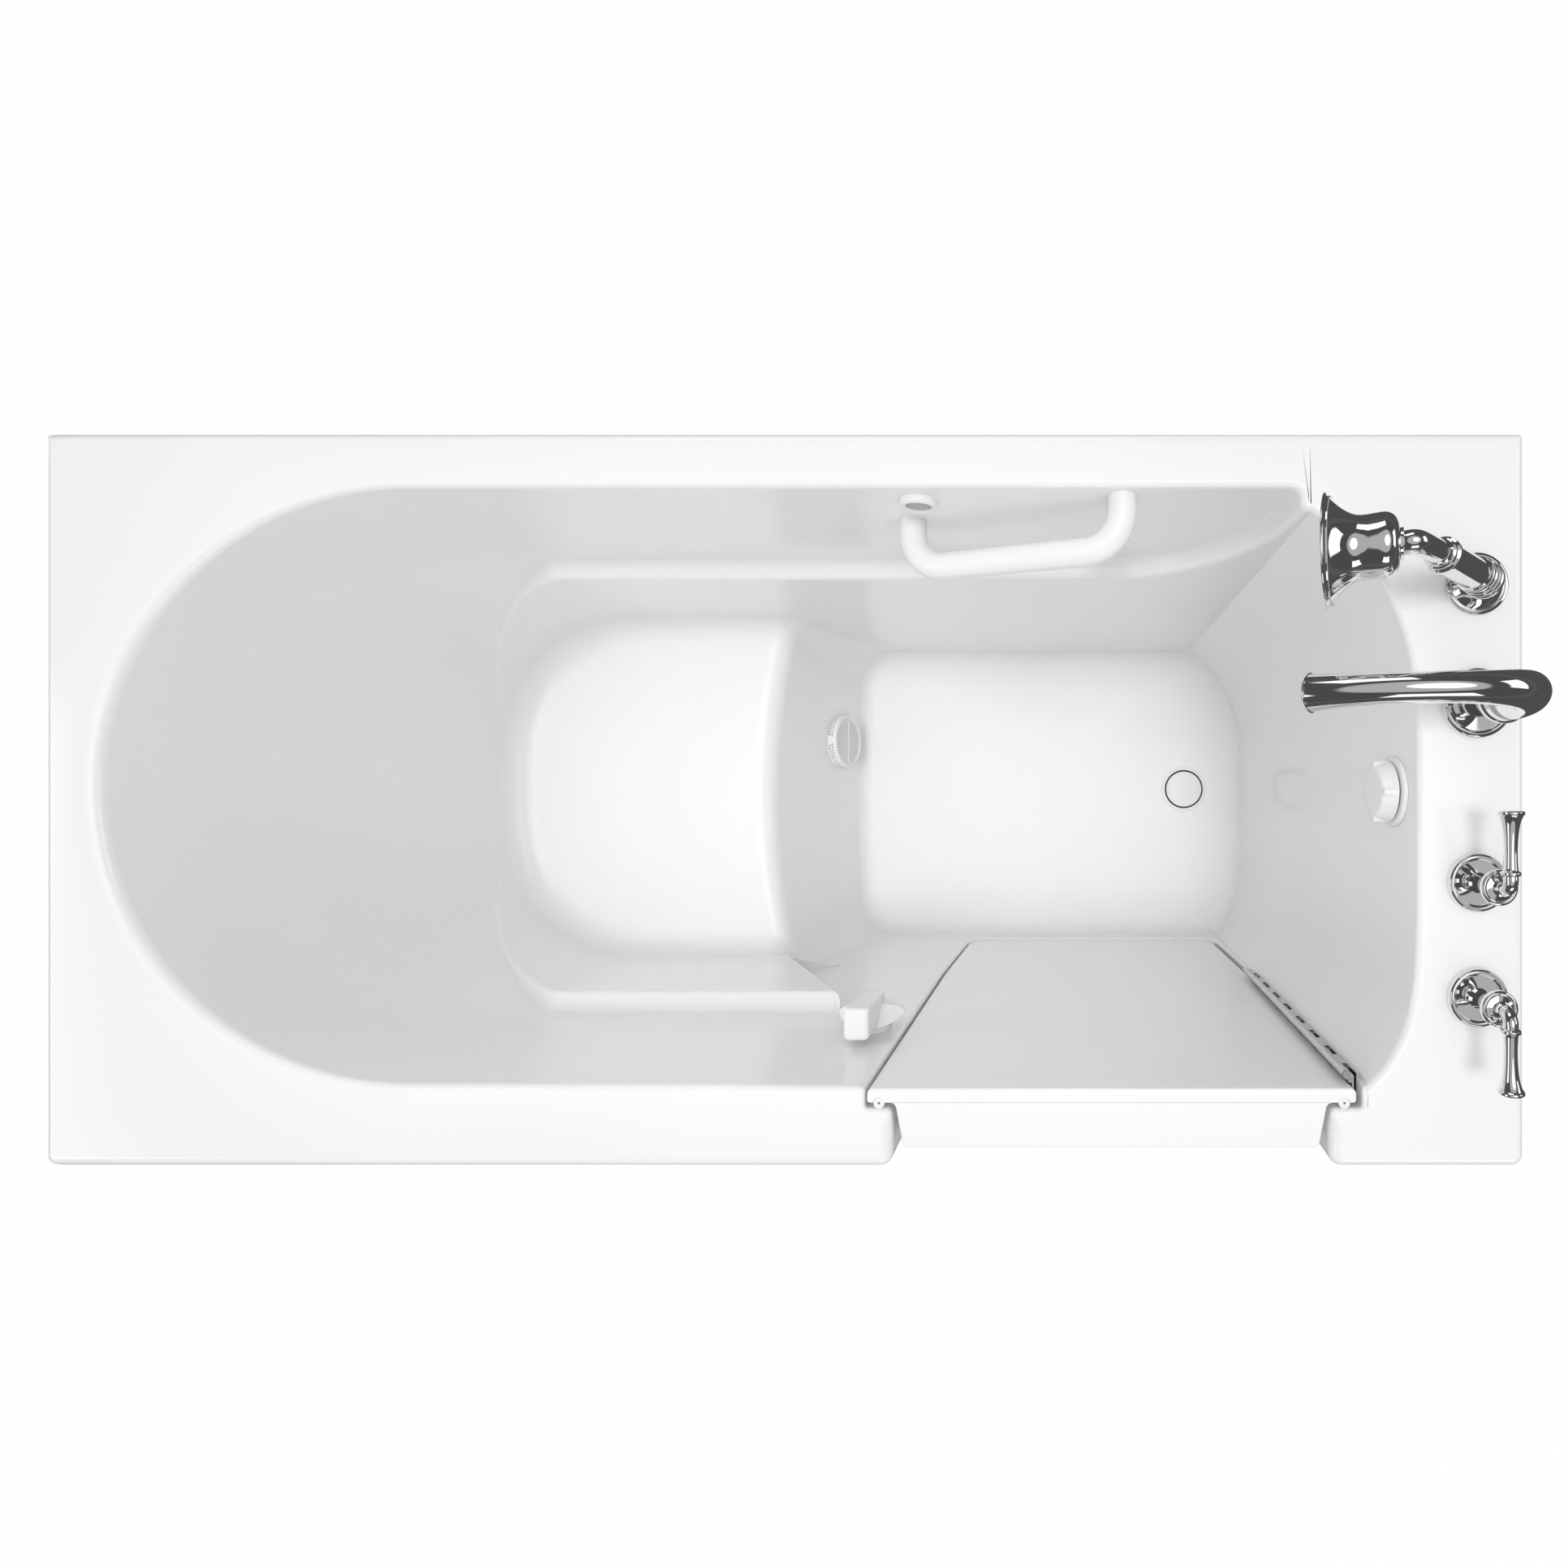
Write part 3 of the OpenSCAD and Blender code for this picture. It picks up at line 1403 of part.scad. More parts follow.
lean_dir = [-sin(shower_lean), 0, cos(shower_lean)];
cradle = [tap_x, shower_y, deck_z + 16];
spigot_r = 11;
elbow_at = cradle + lean_dir * (34 + grip_l + 14);
head_dir = [-cos(23.7), 0, -sin(23.7)];
head_at = elbow_at + [-44, 0, 14];

module shower_base() {
  r = shower_flange_d / 2;
  color("silver")
    difference() {
      union() {
        translate([tap_x, shower_y, deck_z])
          rotate_extrude()
            polygon([[0, 0], [r, 0], [r, 3], [r - 4, 6], [r * 0.7, 8], [r * 0.6, 12], [0, 14]]);
        aim(cradle - lean_dir * 4, lean_dir)
          rotate_extrude()
            polygon([[0, 0], [17, 0], [19, 4], [19, 9], [16, 12], [16, 26], [18.5, 28], [18.5, 33], [0, 33]]);
      }
      aim(cradle + lean_dir * 7, lean_dir)
        cylinder(h = 40, r = spigot_r + slit);
      translate([tap_x, shower_y, deck_z - over])
        cylinder(h = 9, r = shank_r + run_fit);
    }
}

module shower_shank() {
  color("darkgoldenrod")
    difference() {
      deck_shank(shower_y, manifold_z + 14);
      box([tap_x - 40, shower_y - 40, deck_z + 7.5], [tap_x + 40, shower_y + 40, deck_z + 40]);
    }
}

module shower_handset() {
  r = mouth_d / 2;
  color("silver")
    difference() {
      union() {
        aim(cradle + lean_dir * 9, lean_dir)
          cylinder(h = 26, r = spigot_r);
        aim(cradle + lean_dir * 29.4, lean_dir)
          rotate_extrude()
            polygon([
              [0, 0], [17, 0], [17.5, 4], [15, 7], [14.5, 12], [15.2, grip_l * 0.5], [14.5, grip_l - 8],
              [16, grip_l - 5], [16, grip_l], [12.5, grip_l + 3], [12.5, grip_l + 8], [11.5, grip_l + 10],
              [0, grip_l + 10]]);
        bent_rod([cradle + lean_dir * (grip_l + 32), elbow_at, head_at + head_dir * 6], 9.85, 22, 20);
        aim(head_at, head_dir)
          rotate_extrude()
            polygon([
              [0, 0], [13, 0], [22, 3], [27, 9], [28, 17], [27.5, 24], [30, 31], [37, 39],
              [r - 4, 45], [r, 49], [r, 52], [0, 52]]);
      }
      aim(head_at + head_dir * 47, head_dir)
        cylinder(h = 10, r = r - 3);
    }
}

module shower_spray_face() {
  r = mouth_d / 2 - 3 - run_fit;
  color("lightgray")
    aim(head_at + head_dir * 47, head_dir)
      difference() {
        rotate_extrude()
          polygon([[0, 0], [r, 0], [r, 2], [r - 2, 3.5], [0, 5]]);
        for (ring = [1:3], k = [0:ring * 6 - 1])
          rotate([0, 0, 360 * k / (ring * 6)])
            translate([ring * r * 0.27, 0, 2])
              cylinder(h = 5, r = 1.2, $fn = 16);
      }
}

tub_shell();
support_frame();
foot_studs();
foot_nuts();
foot_pads();
front_apron();
access_panel();
access_screws();
end_apron_left();
end_apron_right();
door_inner_panel();
door_outer_shell();
door_stiffener();
door_seal();
hinge_door_leaf();
hinge_jamb_leaf();
hinge_pin();
latch_bushing();
latch_lever();
latch_nut();
grab_bar();
grab_bar_fixings();
air_switch_body();
air_switch_button();
air_switch_nut();
air_tube();
overflow_plate();
overflow_knob();
overflow_elbow();
overflow_pipe();
drain_cable();
drain_flange();
drain_stopper();
drain_shoe();
drain_tailpiece();
suction_cover();
suction_body();
suction_pipe();
pump_volute();
pump_rotor();
pump_motor();
pump_base();
discharge_pipe();
spout();
spout_flange();
spout_shank();
cold_valve();
cold_escutcheon();
cold_handle();
hot_valve();
hot_escutcheon();
hot_handle();
supply_manifold();
shower_base();
shower_shank();
shower_handset();
shower_spray_face();
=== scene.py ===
# %% [markdown]
# # A walk-in bathtub with an inward-opening door
#
# The tub is a moulded acrylic shell: a flat deck, a well with a seat, and a doorway
# cut through its front wall. A door closes the doorway from inside, with a bulb seal,
# a long hinge and a cam latch. Chrome taps stand on the deck, a pump under the seat
# empties the well, and a steel frame carries everything.
#
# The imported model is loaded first. It is the frame of the scene: every piece below
# takes its place from a node's box, so nothing has to be fitted by eye.

# %% Load the frame
import math
import bpy
import bmesh
from mathutils import Matrix, Vector


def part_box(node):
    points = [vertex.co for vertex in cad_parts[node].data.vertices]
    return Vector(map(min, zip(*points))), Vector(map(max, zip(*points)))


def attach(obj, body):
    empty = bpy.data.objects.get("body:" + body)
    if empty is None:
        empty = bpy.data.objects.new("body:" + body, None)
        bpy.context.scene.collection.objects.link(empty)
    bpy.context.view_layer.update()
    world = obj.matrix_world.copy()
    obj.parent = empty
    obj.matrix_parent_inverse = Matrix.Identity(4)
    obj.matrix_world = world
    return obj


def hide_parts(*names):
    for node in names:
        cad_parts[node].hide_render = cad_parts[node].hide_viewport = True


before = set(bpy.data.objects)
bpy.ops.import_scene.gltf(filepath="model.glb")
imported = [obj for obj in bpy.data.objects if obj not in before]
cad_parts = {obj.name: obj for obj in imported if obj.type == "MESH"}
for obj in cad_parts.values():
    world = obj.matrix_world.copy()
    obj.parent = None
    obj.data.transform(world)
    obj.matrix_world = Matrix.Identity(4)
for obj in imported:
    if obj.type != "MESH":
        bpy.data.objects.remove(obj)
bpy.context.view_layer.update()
scene = bpy.context.scene
MM = 0.001


def box_mm(node):
    """The lowest and highest corner of a node, in millimetres."""
    low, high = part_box(node)
    return Vector(low) / MM, Vector(high) / MM


print("nodes in the frame:", len(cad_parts))

# %% [markdown]
# The camera hangs over the foot well and looks straight down, a little right of the
# tub's middle. A level camera keeps every vertical edge pointing at one spot, and the
# lens shift slides the picture so that the whole deck is in it.

# %% Camera
camera_data = bpy.data.cameras.new("camera")
camera = bpy.data.objects.new("camera", camera_data)
scene.collection.objects.link(camera)
camera_data.lens = 17.907
camera_data.sensor_width = 36
camera_data.shift_x = -0.1822
camera_data.shift_y = 0.00155
camera.location = (0.2934, 0.0137, 1.765)
scene.camera = camera
print("camera height", camera.location.z)

# %% [markdown]
# Shader maths reads best as plain expressions. This small class wraps one output
# socket, so that `1 - mask * 0.3` adds the Math nodes it needs. Any other node comes
# from `NodeTree.node`, with its settings first and its inputs after them.


# %% Shader helpers
class Value:
    """One output socket that can be used in sums and products."""

    def __init__(self, finish, socket):
        self.finish, self.socket = finish, socket

    def math(self, operation, a, b=None):
        inputs = {0: a} if b is None else {0: a, 1: b}
        return self.finish.node("ShaderNodeMath", {"operation": operation}, inputs)

    def __add__(self, other):
        return self.math("ADD", self, other)

    def __sub__(self, other):
        return self.math("SUBTRACT", self, other)

    def __mul__(self, other):
        return self.math("MULTIPLY", self, other)

    def __rsub__(self, other):
        return self.math("SUBTRACT", other, self)

    __radd__, __rmul__ = __add__, __mul__


class NodeTree:
    """A node tree under construction, of a material or of the world."""

    def __init__(self, tree):
        self.tree = tree

    def node(self, kind, settings=None, inputs=None, output=0):
        node = self.tree.nodes.new(kind)
        for name, value in (settings or {}).items():
            setattr(node, name, value)
        for name, value in (inputs or {}).items():
            if isinstance(value, Value):
                self.tree.links.new(value.socket, node.inputs[name])
            else:
                node.inputs[name].default_value = value
        return Value(self, node.outputs[output])


class Finish(NodeTree):
    """A material under construction, with its one Principled shader."""

    def __init__(self, name, color, roughness, metallic=0.0, **constants):
        self.material = bpy.data.materials.new(name)
        self.material.use_nodes = True
        super().__init__(self.material.node_tree)
        self.shader = self.tree.nodes["Principled BSDF"]
        self.shader.inputs["Base Color"].default_value = (*color, 1)
        self.shader.inputs["Roughness"].default_value = roughness
        self.shader.inputs["Metallic"].default_value = metallic
        for name, value in constants.items():
            self.shader.inputs[name.replace("_", " ")].default_value = value

    def set(self, name, value):
        self.tree.links.new(value.socket, self.shader.inputs[name])

    def place(self):
        return self.node("ShaderNodeTexCoord", output=3)

    def noise(self, size_mm, detail=3.0, at=None):
        return self.node("ShaderNodeTexNoise", {}, {
            "Vector": at or self.place(), "Scale": 1000 / size_mm, "Detail": detail})

    def bump(self, height, depth_mm, strength=1.0):
        self.set("Normal", self.node("ShaderNodeBump", {}, {
            "Height": height, "Distance": depth_mm * MM, "Strength": strength}))

    def shade(self, mask, low, high):
        """Base colour that goes from one colour to another with a mask."""
        self.set("Base Color", self.node("ShaderNodeMix", {"data_type": "RGBA"}, {
            0: mask, 6: (*low, 1), 7: (*high, 1)}, output=2))


print("shader helpers ready")

# %% [markdown]
# The shell, the door and the aprons are gel-coated acrylic: nearly white, glossy, with
# a faint orange peel from the mould. The colour stays just under white, so that the
# soft light still shows which way each face looks. Broad noise moves the tone by about
# one percent, and the roughness a little more, as wiped acrylic does.


# %% Gel coat and moulded plastics
def satin(name, color, roughness, peel_mm=4.0, depth_mm=0.01, drift=0.985, **constants):
    """A moulded white or grey surface with a faint orange peel."""
    finish = Finish(name, color, roughness, **constants)
    broad = finish.noise(260, 2)
    finish.shade(broad, [c * drift for c in color], [min(1, c / drift) for c in color])
    finish.set("Roughness", broad * 0.06 + (roughness - 0.03))
    finish.bump(finish.noise(peel_mm, 2), depth_mm)
    return finish


gel_coat, shell_coat = [
    satin(name, (0.92, 0.92, 0.92), 0.16, Coat_Weight=0.25, Coat_Roughness=0.05)
    for name in ("gel_coat", "shell_coat")]
moulded_white = satin("moulded_white", (0.9, 0.9, 0.9), 0.2, peel_mm=1.6)
moulded_grey = satin("moulded_grey", (0.42, 0.43, 0.44), 0.38, peel_mm=1.4)
moulded_black = satin("moulded_black", (0.03, 0.03, 0.033), 0.42, peel_mm=1.2, depth_mm=0.03,
                      drift=0.8)
pipe_white = satin("pipe_white", (0.78, 0.78, 0.76), 0.3, peel_mm=9)
soft_white = satin("soft_white", (0.86, 0.86, 0.86), 0.5, peel_mm=0.9, depth_mm=0.02)
print("plastics:", len(bpy.data.materials))

# %% [markdown]
# The foot well's floor must not be slippery, so the mould is grained there. A mask on
# the height of the point keeps the grain to the floor: it fades from 1 at 104 mm, just
# over the floor, to 0 at 112 mm.

# %% Anti-slip grain on the floor of the foot well
grain_z, grain_fade = 0.112, 120
height = shell_coat.node("ShaderNodeSeparateXYZ", {}, {0: shell_coat.place()}, output=2)
on_floor = shell_coat.node("ShaderNodeMath", {"operation": "MULTIPLY", "use_clamp": True}, {
    0: grain_z - height, 1: grain_fade})
grain = shell_coat.noise(5, 5)
peel = shell_coat.noise(4, 2)
shell_coat.bump(grain * on_floor + peel * 0.03, 0.35, 0.6)
shell_coat.set("Roughness", on_floor * 0.25 + (grain * 0.05 + 0.14))
print("floor grain below", grain_z, "m")

# %% [markdown]
# Chrome is a nearly white metal with almost no roughness; what makes it look like
# chrome is the room it mirrors. Fine noise in the roughness stands for the film of
# water marks. Brass, copper, zinc and stainless steel are the same shader, only rougher.
# Stainless steel also has a drawn grain: noise stretched along one axis by a Mapping node.


# %% Metals
def metal(name, color, roughness, smear=0.05, grain=None, depth_mm=0.004, drift=0.93):
    """A metal whose roughness and tone drift; grain stretches the noise."""
    finish = Finish(name, color, roughness, 1.0)
    at = finish.place()
    if grain:
        at = finish.node("ShaderNodeMapping", {"vector_type": "POINT"},
                         {"Vector": at, "Scale": grain})
    fine = finish.noise(14, 4, at)
    finish.shade(fine, [c * drift for c in color], color)
    finish.set("Roughness", fine * smear + (roughness - smear / 2))
    finish.bump(finish.noise(3, 2, at), depth_mm)
    return finish


chrome = metal("chrome", (0.87, 0.87, 0.88), 0.045, smear=0.03, depth_mm=0.001, drift=0.99)
stainless = metal("stainless", (0.6, 0.6, 0.61), 0.28, smear=0.1, grain=(1, 1, 0.06))
zinc_steel = metal("zinc_steel", (0.62, 0.63, 0.65), 0.36, smear=0.16, drift=0.82)
frame_steel = metal("frame_steel", (0.5, 0.51, 0.52), 0.42, smear=0.2, drift=0.78)
brass = metal("brass", (0.72, 0.55, 0.27), 0.27, smear=0.1, drift=0.85)
copper = metal("copper", (0.78, 0.42, 0.28), 0.3, smear=0.16, drift=0.75)
print("metals ready")

# %% [markdown]
# Every new piece is modelled in millimetres, like the drawing of the real one, and is
# scaled to metres once, when its mesh becomes an object. A piece always gets the same
# few things: smooth faces with sharp edges kept, a finish, a body to ride on, and the
# names of the nodes that it stands for.


# %% Making pieces
def new_piece(name, bm, finish, body="root", replaces=(), sharp=35):
    """An object from a mesh drawn in millimetres, on its body, for the nodes it replaces."""
    bmesh.ops.scale(bm, vec=(MM, MM, MM), verts=bm.verts)
    mesh = bpy.data.meshes.new(name)
    bm.to_mesh(mesh)
    bm.free()
    mesh.shade_smooth()
    mesh.set_sharp_from_angle(angle=math.radians(sharp))
    mesh.materials.append(finish.material)
    piece = bpy.data.objects.new(name, mesh)
    scene.collection.objects.link(piece)
    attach(piece, body)
    if replaces:
        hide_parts(*replaces)
    print(f"{name}: {len(mesh.polygons)} faces on {body}")
    return piece


def bake(piece):
    """Applies a piece's modifiers and marks its sharp edges again."""
    graph = bpy.context.evaluated_depsgraph_get()
    mesh = bpy.data.meshes.new_from_object(piece.evaluated_get(graph))
    piece.modifiers.clear()
    piece.data = mesh
    mesh.shade_smooth()
    mesh.set_sharp_from_angle(angle=math.radians(35))


def carve(piece, bm):
    """Cuts a shape, drawn in millimetres, out of a piece."""
    bmesh.ops.scale(bm, vec=(MM, MM, MM), verts=bm.verts)
    mesh = bpy.data.meshes.new("cut")
    bm.to_mesh(mesh)
    bm.free()
    tool = bpy.data.objects.new("cut", mesh)
    scene.collection.objects.link(tool)
    cut = piece.modifiers.new("cut", "BOOLEAN")
    cut.operation, cut.solver, cut.object = "DIFFERENCE", "EXACT", tool
    bake(piece)
    bpy.data.objects.remove(tool)


def thicken(piece, wall_mm):
    """Turns a sheet into a wall; its drawn face stays where it is."""
    wall = piece.modifiers.new("wall", "SOLIDIFY")
    wall.thickness, wall.offset = wall_mm * MM, -1


def even_shading(piece):
    """Lets large flat faces set the normals that they share with small rounded ones."""
    piece.modifiers.new("even_shading", "WEIGHTED_NORMAL").keep_sharp = True


def fill_holes(bm):
    """Closes every open loop of edges with one face."""
    bmesh.ops.holes_fill(bm, edges=[e for e in bm.edges if e.is_boundary], sides=0)


def woven(rows):
    """A sheet through rows of points: a grid whose vertices are moved to them."""
    bm = bmesh.new()
    across = len(rows[0])
    bmesh.ops.create_grid(bm, x_segments=across - 1, y_segments=len(rows) - 1, size=1)
    bm.verts.ensure_lookup_table()
    for index, vertex in enumerate(bm.verts):
        vertex.co = rows[index // across][index % across]
    bmesh.ops.remove_doubles(bm, verts=bm.verts, dist=0.02)
    return bm


def mix(a, b, t):
    """a where t is 0, b where t is 1."""
    return a + (b - a) * t


def clamp(t):
    return max(0.0, min(1.0, t))


print("helpers for pieces ready")

# %% [markdown]
# The shell is one moulded sheet. On the real tub a sheet of acrylic is drawn into a
# mould, and the model follows it: a grid whose columns run from the lip, over the
# deck, down the wall, across the ledge and the seat, and down to the foot well's
# floor. Each column passes the same levels, so every fillet is a few neighbouring
# levels, and the whole sheet stays one smooth surface. Booleans with bevels would be
# the other way, but they leave thin faces where curved fillets meet.

# %% Shell sizes
_, (half_l, half_w, deck_z) = box_mm("tub_shell")
well_left, well_right = 53 - half_l, half_l - 110.5
well_back, well_front = half_w - 57.5, 86 - half_w
low_back, low_front, foot_front = well_back - 24, well_front + 26, well_front - 2
oval_l = 320
oval_x = well_left + oval_l
seat_z, ledge_z, floor_z, lip_z = 432, 700, 100, deck_z - 40
lean = math.tan(math.radians(7))
edge_r, rim_r, seat_r, nose_r, foot_r = 12, 7, 38, 35, 32
shell_wall, jamb_wall = 6, 5
seat_l, strip_l, step_half = 424, 50, 8
step_run, step_rise = 172, 268
bow_back, bow_front = 109, 52
riser_bow_top, riser_bow_foot = 30, 6
riser_corner_top, riser_corner_foot, riser_corner_z = 38, 78, 413
riser_tan = 74 / (seat_z - floor_z)
riser_turn = math.pi / 2 - math.atan(riser_tan)
nose_run = nose_r * math.tan(riser_turn / 2)
quarter = [math.radians(15 * k) for k in range(7)]
print("deck height", deck_z, "well length", well_right - well_left)


# %% Outlines of the well
def seat_left(z):
    """Where the backrest stands at height z; it leans inward on its way down."""
    return well_left + (deck_z - z) * lean


seat_edge = seat_left(seat_z) + seat_l


def upper_wall(turn, z):
    """The recess above the ledge: half an ellipse whose back leans."""
    a = oval_l - (deck_z - z) * lean * math.cos(turn) ** 2
    b = (well_back - well_front) / 2
    r = 1 / math.hypot(math.cos(turn) / a, math.sin(turn) / b)
    return Vector((oval_x + r * math.cos(turn), (well_back + well_front) / 2 + r * math.sin(turn)))


def lower_wall(turn, z):
    """The well below the ledge: a squarer oval."""
    a, b, power = oval_x - seat_left(z), (low_back - low_front) / 2, 2.6
    r = (abs(math.cos(turn) / a) ** power + abs(math.sin(turn) / b) ** power) ** (-1 / power)
    return Vector((oval_x + r * math.cos(turn), (low_back + low_front) / 2 + r * math.sin(turn)))


def end_wall_x(y):
    """The end wall by the taps bows out in its middle."""
    if y > 0:
        return well_right - bow_back * (y / low_back) ** 3.7
    return well_right - bow_front * (y / foot_front) ** 6


def riser_x(v, z):
    """The riser's line; v runs from -1 at the door side to 1 at the wall side."""
    down = (seat_z - z) * riser_tan
    deep = clamp((seat_z - z) / (seat_z - floor_z))
    return seat_edge + down + v * v * mix(riser_bow_top, riser_bow_foot, deep)


def riser_corner(z):
    """The radius of the foot well's upright corners beside the riser."""
    deep = clamp((riser_corner_z - z) / (riser_corner_z - floor_z))
    return mix(riser_corner_top, riser_corner_foot, deep)


ledge_ring = [(10 - 10 * math.cos(a), 10 - 10 * math.sin(a)) for a in quarter[::2]] + [
    (16 + 8 * math.sin(a), 8 * math.cos(a) - 8) for a in quarter[::2]]
seat_ring = [(seat_r * (1 - math.cos(a)), seat_r * (1 - math.sin(a))) for a in quarter]
ring_x = riser_x(1, seat_z) - nose_run
print("seat edge", round(seat_edge, 1), "ledge profile points", len(ledge_ring))

# %% [markdown]
# A column is described by what its wall does above the ledge and below it, where it
# meets the deck's outer edge, and how it gets to the floor. The left columns cross
# the seat. The strips at the seat's two ends turn the seat's fillet into the corner
# of the foot well. The right columns drop straight to the floor.

# %% Levels of a column
fall = [math.radians(-1.5 - 88.5 * k / 10) for k in range(11)]
step_profile = [(-8, 0), (-4, 1.1), (-1.1, 4), (0, 8), (0, 20), (1.1, 24), (4, 26.9), (8, 28)]


def step_x(z):
    """Where the door-side ledge ends: a line that leans forward from the seat."""
    return ring_x + strip_l + (min(z, ledge_z) - seat_z - seat_r) * step_run / step_rise


def front_wall_y(x, z):
    """The front wall steps back 2 mm on its way from the seat to the doorway."""
    t = clamp((x - step_x(z) + strip_l) / (2 * strip_l))
    return mix(well_front, foot_front, t * t * (3 - 2 * t))


def nose(h, level):
    """A point on the way over the seat's front edge, h above the seat."""
    beta = riser_turn * level / 6
    z = seat_z + h - (nose_r + h) * (1 - math.cos(beta))
    return (nose_r + h) * math.sin(beta) - nose_run - (seat_z - z) * riser_tan, z


class Column:
    """One run of the sheet from the lip to the floor."""

    def __init__(self, kind, side, outer, upper, lower, ledge=ledge_z, share=1.0,
                 inward=None, v=0.0, j=0, dx=0.0, depth=0.0, blend=None):
        self.kind, self.side, self.outer = kind, side, outer
        self.upper, self.lower = upper, lower
        self.ledge, self.share, self.inward, self.v = ledge, share, inward, v
        self.j, self.dx, self.depth, self.blend = j, dx, depth, blend

    def wall_y(self, progress):
        return low_back if self.side > 0 else mix(low_front, foot_front, progress)

    def low_path(self):
        """The points below the seat's height, from the nose to the foot's fillet."""
        points = []
        steps = [("nose", e) for e in range(7)] + [("riser", k / 5) for k in range(1, 6)]
        for stage, t in steps:
            h, offset = 0.0, seat_r
            if self.kind != "seat":
                offset, h = seat_ring[self.j]
            s, z = nose(h, t if stage == "nose" else 6)
            progress = t / 6 if stage == "nose" else 1.0
            if stage == "riser":
                z = mix(z, floor_z + foot_r, t)
            points.append(self.low_point(z, s if stage == "nose" else None, h, offset, progress))
        return points

    def low_point(self, z, s, h, offset, progress):
        progress = progress * progress * (3 - 2 * progress)
        corner = riser_corner(z)
        grow = corner / seat_r
        if self.kind == "seat":
            front = mix(low_front, foot_front, progress) + corner
            y = mix(front, low_back - corner, (self.v + 1) / 2)
            return Vector((riser_x(self.v, z) + (s or 0), y, z))
        x = riser_x(1, z) + (s if s is not None
                             else h * math.hypot(1, riser_tan) * grow)
        y = self.wall_y(progress) - self.side * offset * grow
        if self.kind == "strip":
            return Vector((x, y, z))
        if self.kind == "step":
            y = mix(low_front - self.depth, foot_front, progress)
            return Vector((x + strip_l + self.dx, y, z))
        return self.blend(x, z)


print("levels of the upper wall:", len(fall))


# %% [markdown]
# The columns go round the well once, counter-clockwise from the middle of the
# backrest: door-side quarter, front wall, the end of its ledge, the doorway's wall,
# the bowed end wall, the wall-side ledge that climbs to the deck, and back again.
# Where two groups meet they share points, and merging the doubles closes the sheet.


# %% Deck outline
def deck_edge(x, y, corner=0.0, turn=None):
    """A point on the deck's outer edge, and how it moves when the edge is inset."""
    if turn is None:
        return lambda inset: Vector((math.copysign(min(abs(x), half_l - inset), x),
                                     math.copysign(min(abs(y), half_w - inset), y)))
    sx, sy = math.copysign(1, x), math.copysign(1, y)
    centre = Vector((sx * (half_l - corner), sy * (half_w - corner)))
    way = Vector((math.cos(turn), math.sin(turn)))

    def place(inset):
        if inset <= corner:
            return centre + way * (corner - inset)
        return centre - Vector((sx, sy)) * (inset - corner)
    return place


def edge_run(start, end, corner, steps):
    """Deck-edge points from start round one corner to end; steps counts each part."""
    (x0, y0), (x1, y1) = start, end
    vertical_first = abs(x0) >= half_l - 0.1
    cx = x0 if vertical_first else x1
    cy = y1 if vertical_first else y0
    bend_in = Vector((cx, cy)) - Vector(start)
    bend_out = Vector(end) - Vector((cx, cy))
    a = Vector((cx, cy)) - bend_in.normalized() * corner
    b = Vector((cx, cy)) + bend_out.normalized() * corner
    first, arc, last = steps
    places = [deck_edge(*Vector(start).lerp(a, k / first)) for k in range(first)]
    centre = Vector((math.copysign(half_l - corner, cx), math.copysign(half_w - corner, cy)))
    t0 = math.atan2(*(a - centre).yx)
    t1 = math.atan2(*(b - centre).yx)
    if t1 < t0:
        t1 += 2 * math.pi
    places += [deck_edge(cx, cy, corner, mix(t0, t1, k / arc)) for k in range(arc)]
    return places + [deck_edge(*b.lerp(Vector(end), k / last)) for k in range(last + 1)]


# %% Columns of the sheet
# past 95 degrees round from the taps the ledge sinks toward the backrest, down to a limit
ledge_turn, ledge_fall, ledge_low = 95, 3.8, 500
inward_oval = 255, 282, 1.6


def still(x, y):
    """A wall that stands upright: the same place at every height."""
    return lambda z: Vector((x, y))


def oval_columns(first_turn, steps, places):
    """Columns of one quarter of the backrest's oval, one for each place on the deck's edge."""
    made = []
    for k, outer in enumerate(places):
        turn = first_turn + math.pi / 2 * k / steps
        side_angle = 180 - abs(math.degrees(turn) - 180)
        ledge = max(ledge_low, ledge_z - ledge_fall * max(0, side_angle - ledge_turn))
        a, b, power = inward_oval
        normal = Vector((
            -math.copysign(abs(math.cos(turn) / a) ** power / a, math.cos(turn)),
            -math.copysign(abs(math.sin(turn) / b) ** power / b, math.sin(turn)))).normalized()
        made.append(Column(
            "seat", 0, outer, lambda z, t=turn: upper_wall(t, z),
            lambda z, t=turn: lower_wall(t, z), ledge, inward=normal))
    return made


def seat_wall_x(t, z):
    """Front wall over the seat: t is 0 at the oval and 1 beside the ledge's end."""
    return mix(oval_x, step_x(z) - strip_l, t)


front_places = edge_run((-half_l, 14), (oval_x, -half_w), edge_r, (10, 5, 9))
back_places = edge_run((oval_x, half_w), (-half_l, 14), 5, (9, 5, 10))
columns = oval_columns(math.pi, 24, front_places)
for k in range(1, 9):
    columns.append(Column(
        "seat", -1, deck_edge(seat_wall_x(k / 8, deck_z), -half_w),
        lambda z, t=k / 8: Vector((seat_wall_x(t, z), well_front)),
        lambda z, t=k / 8: Vector((seat_wall_x(t, z), low_front)), inward=Vector((0, 1))))
for j in range(6, -1, -1):
    columns.append(Column(
        "strip", -1, deck_edge(seat_wall_x(1, deck_z), -half_w),
        lambda z: Vector((seat_wall_x(1, z), well_front)),
        lambda z: Vector((seat_wall_x(1, z), low_front)), inward=Vector((0, 1)), j=j))
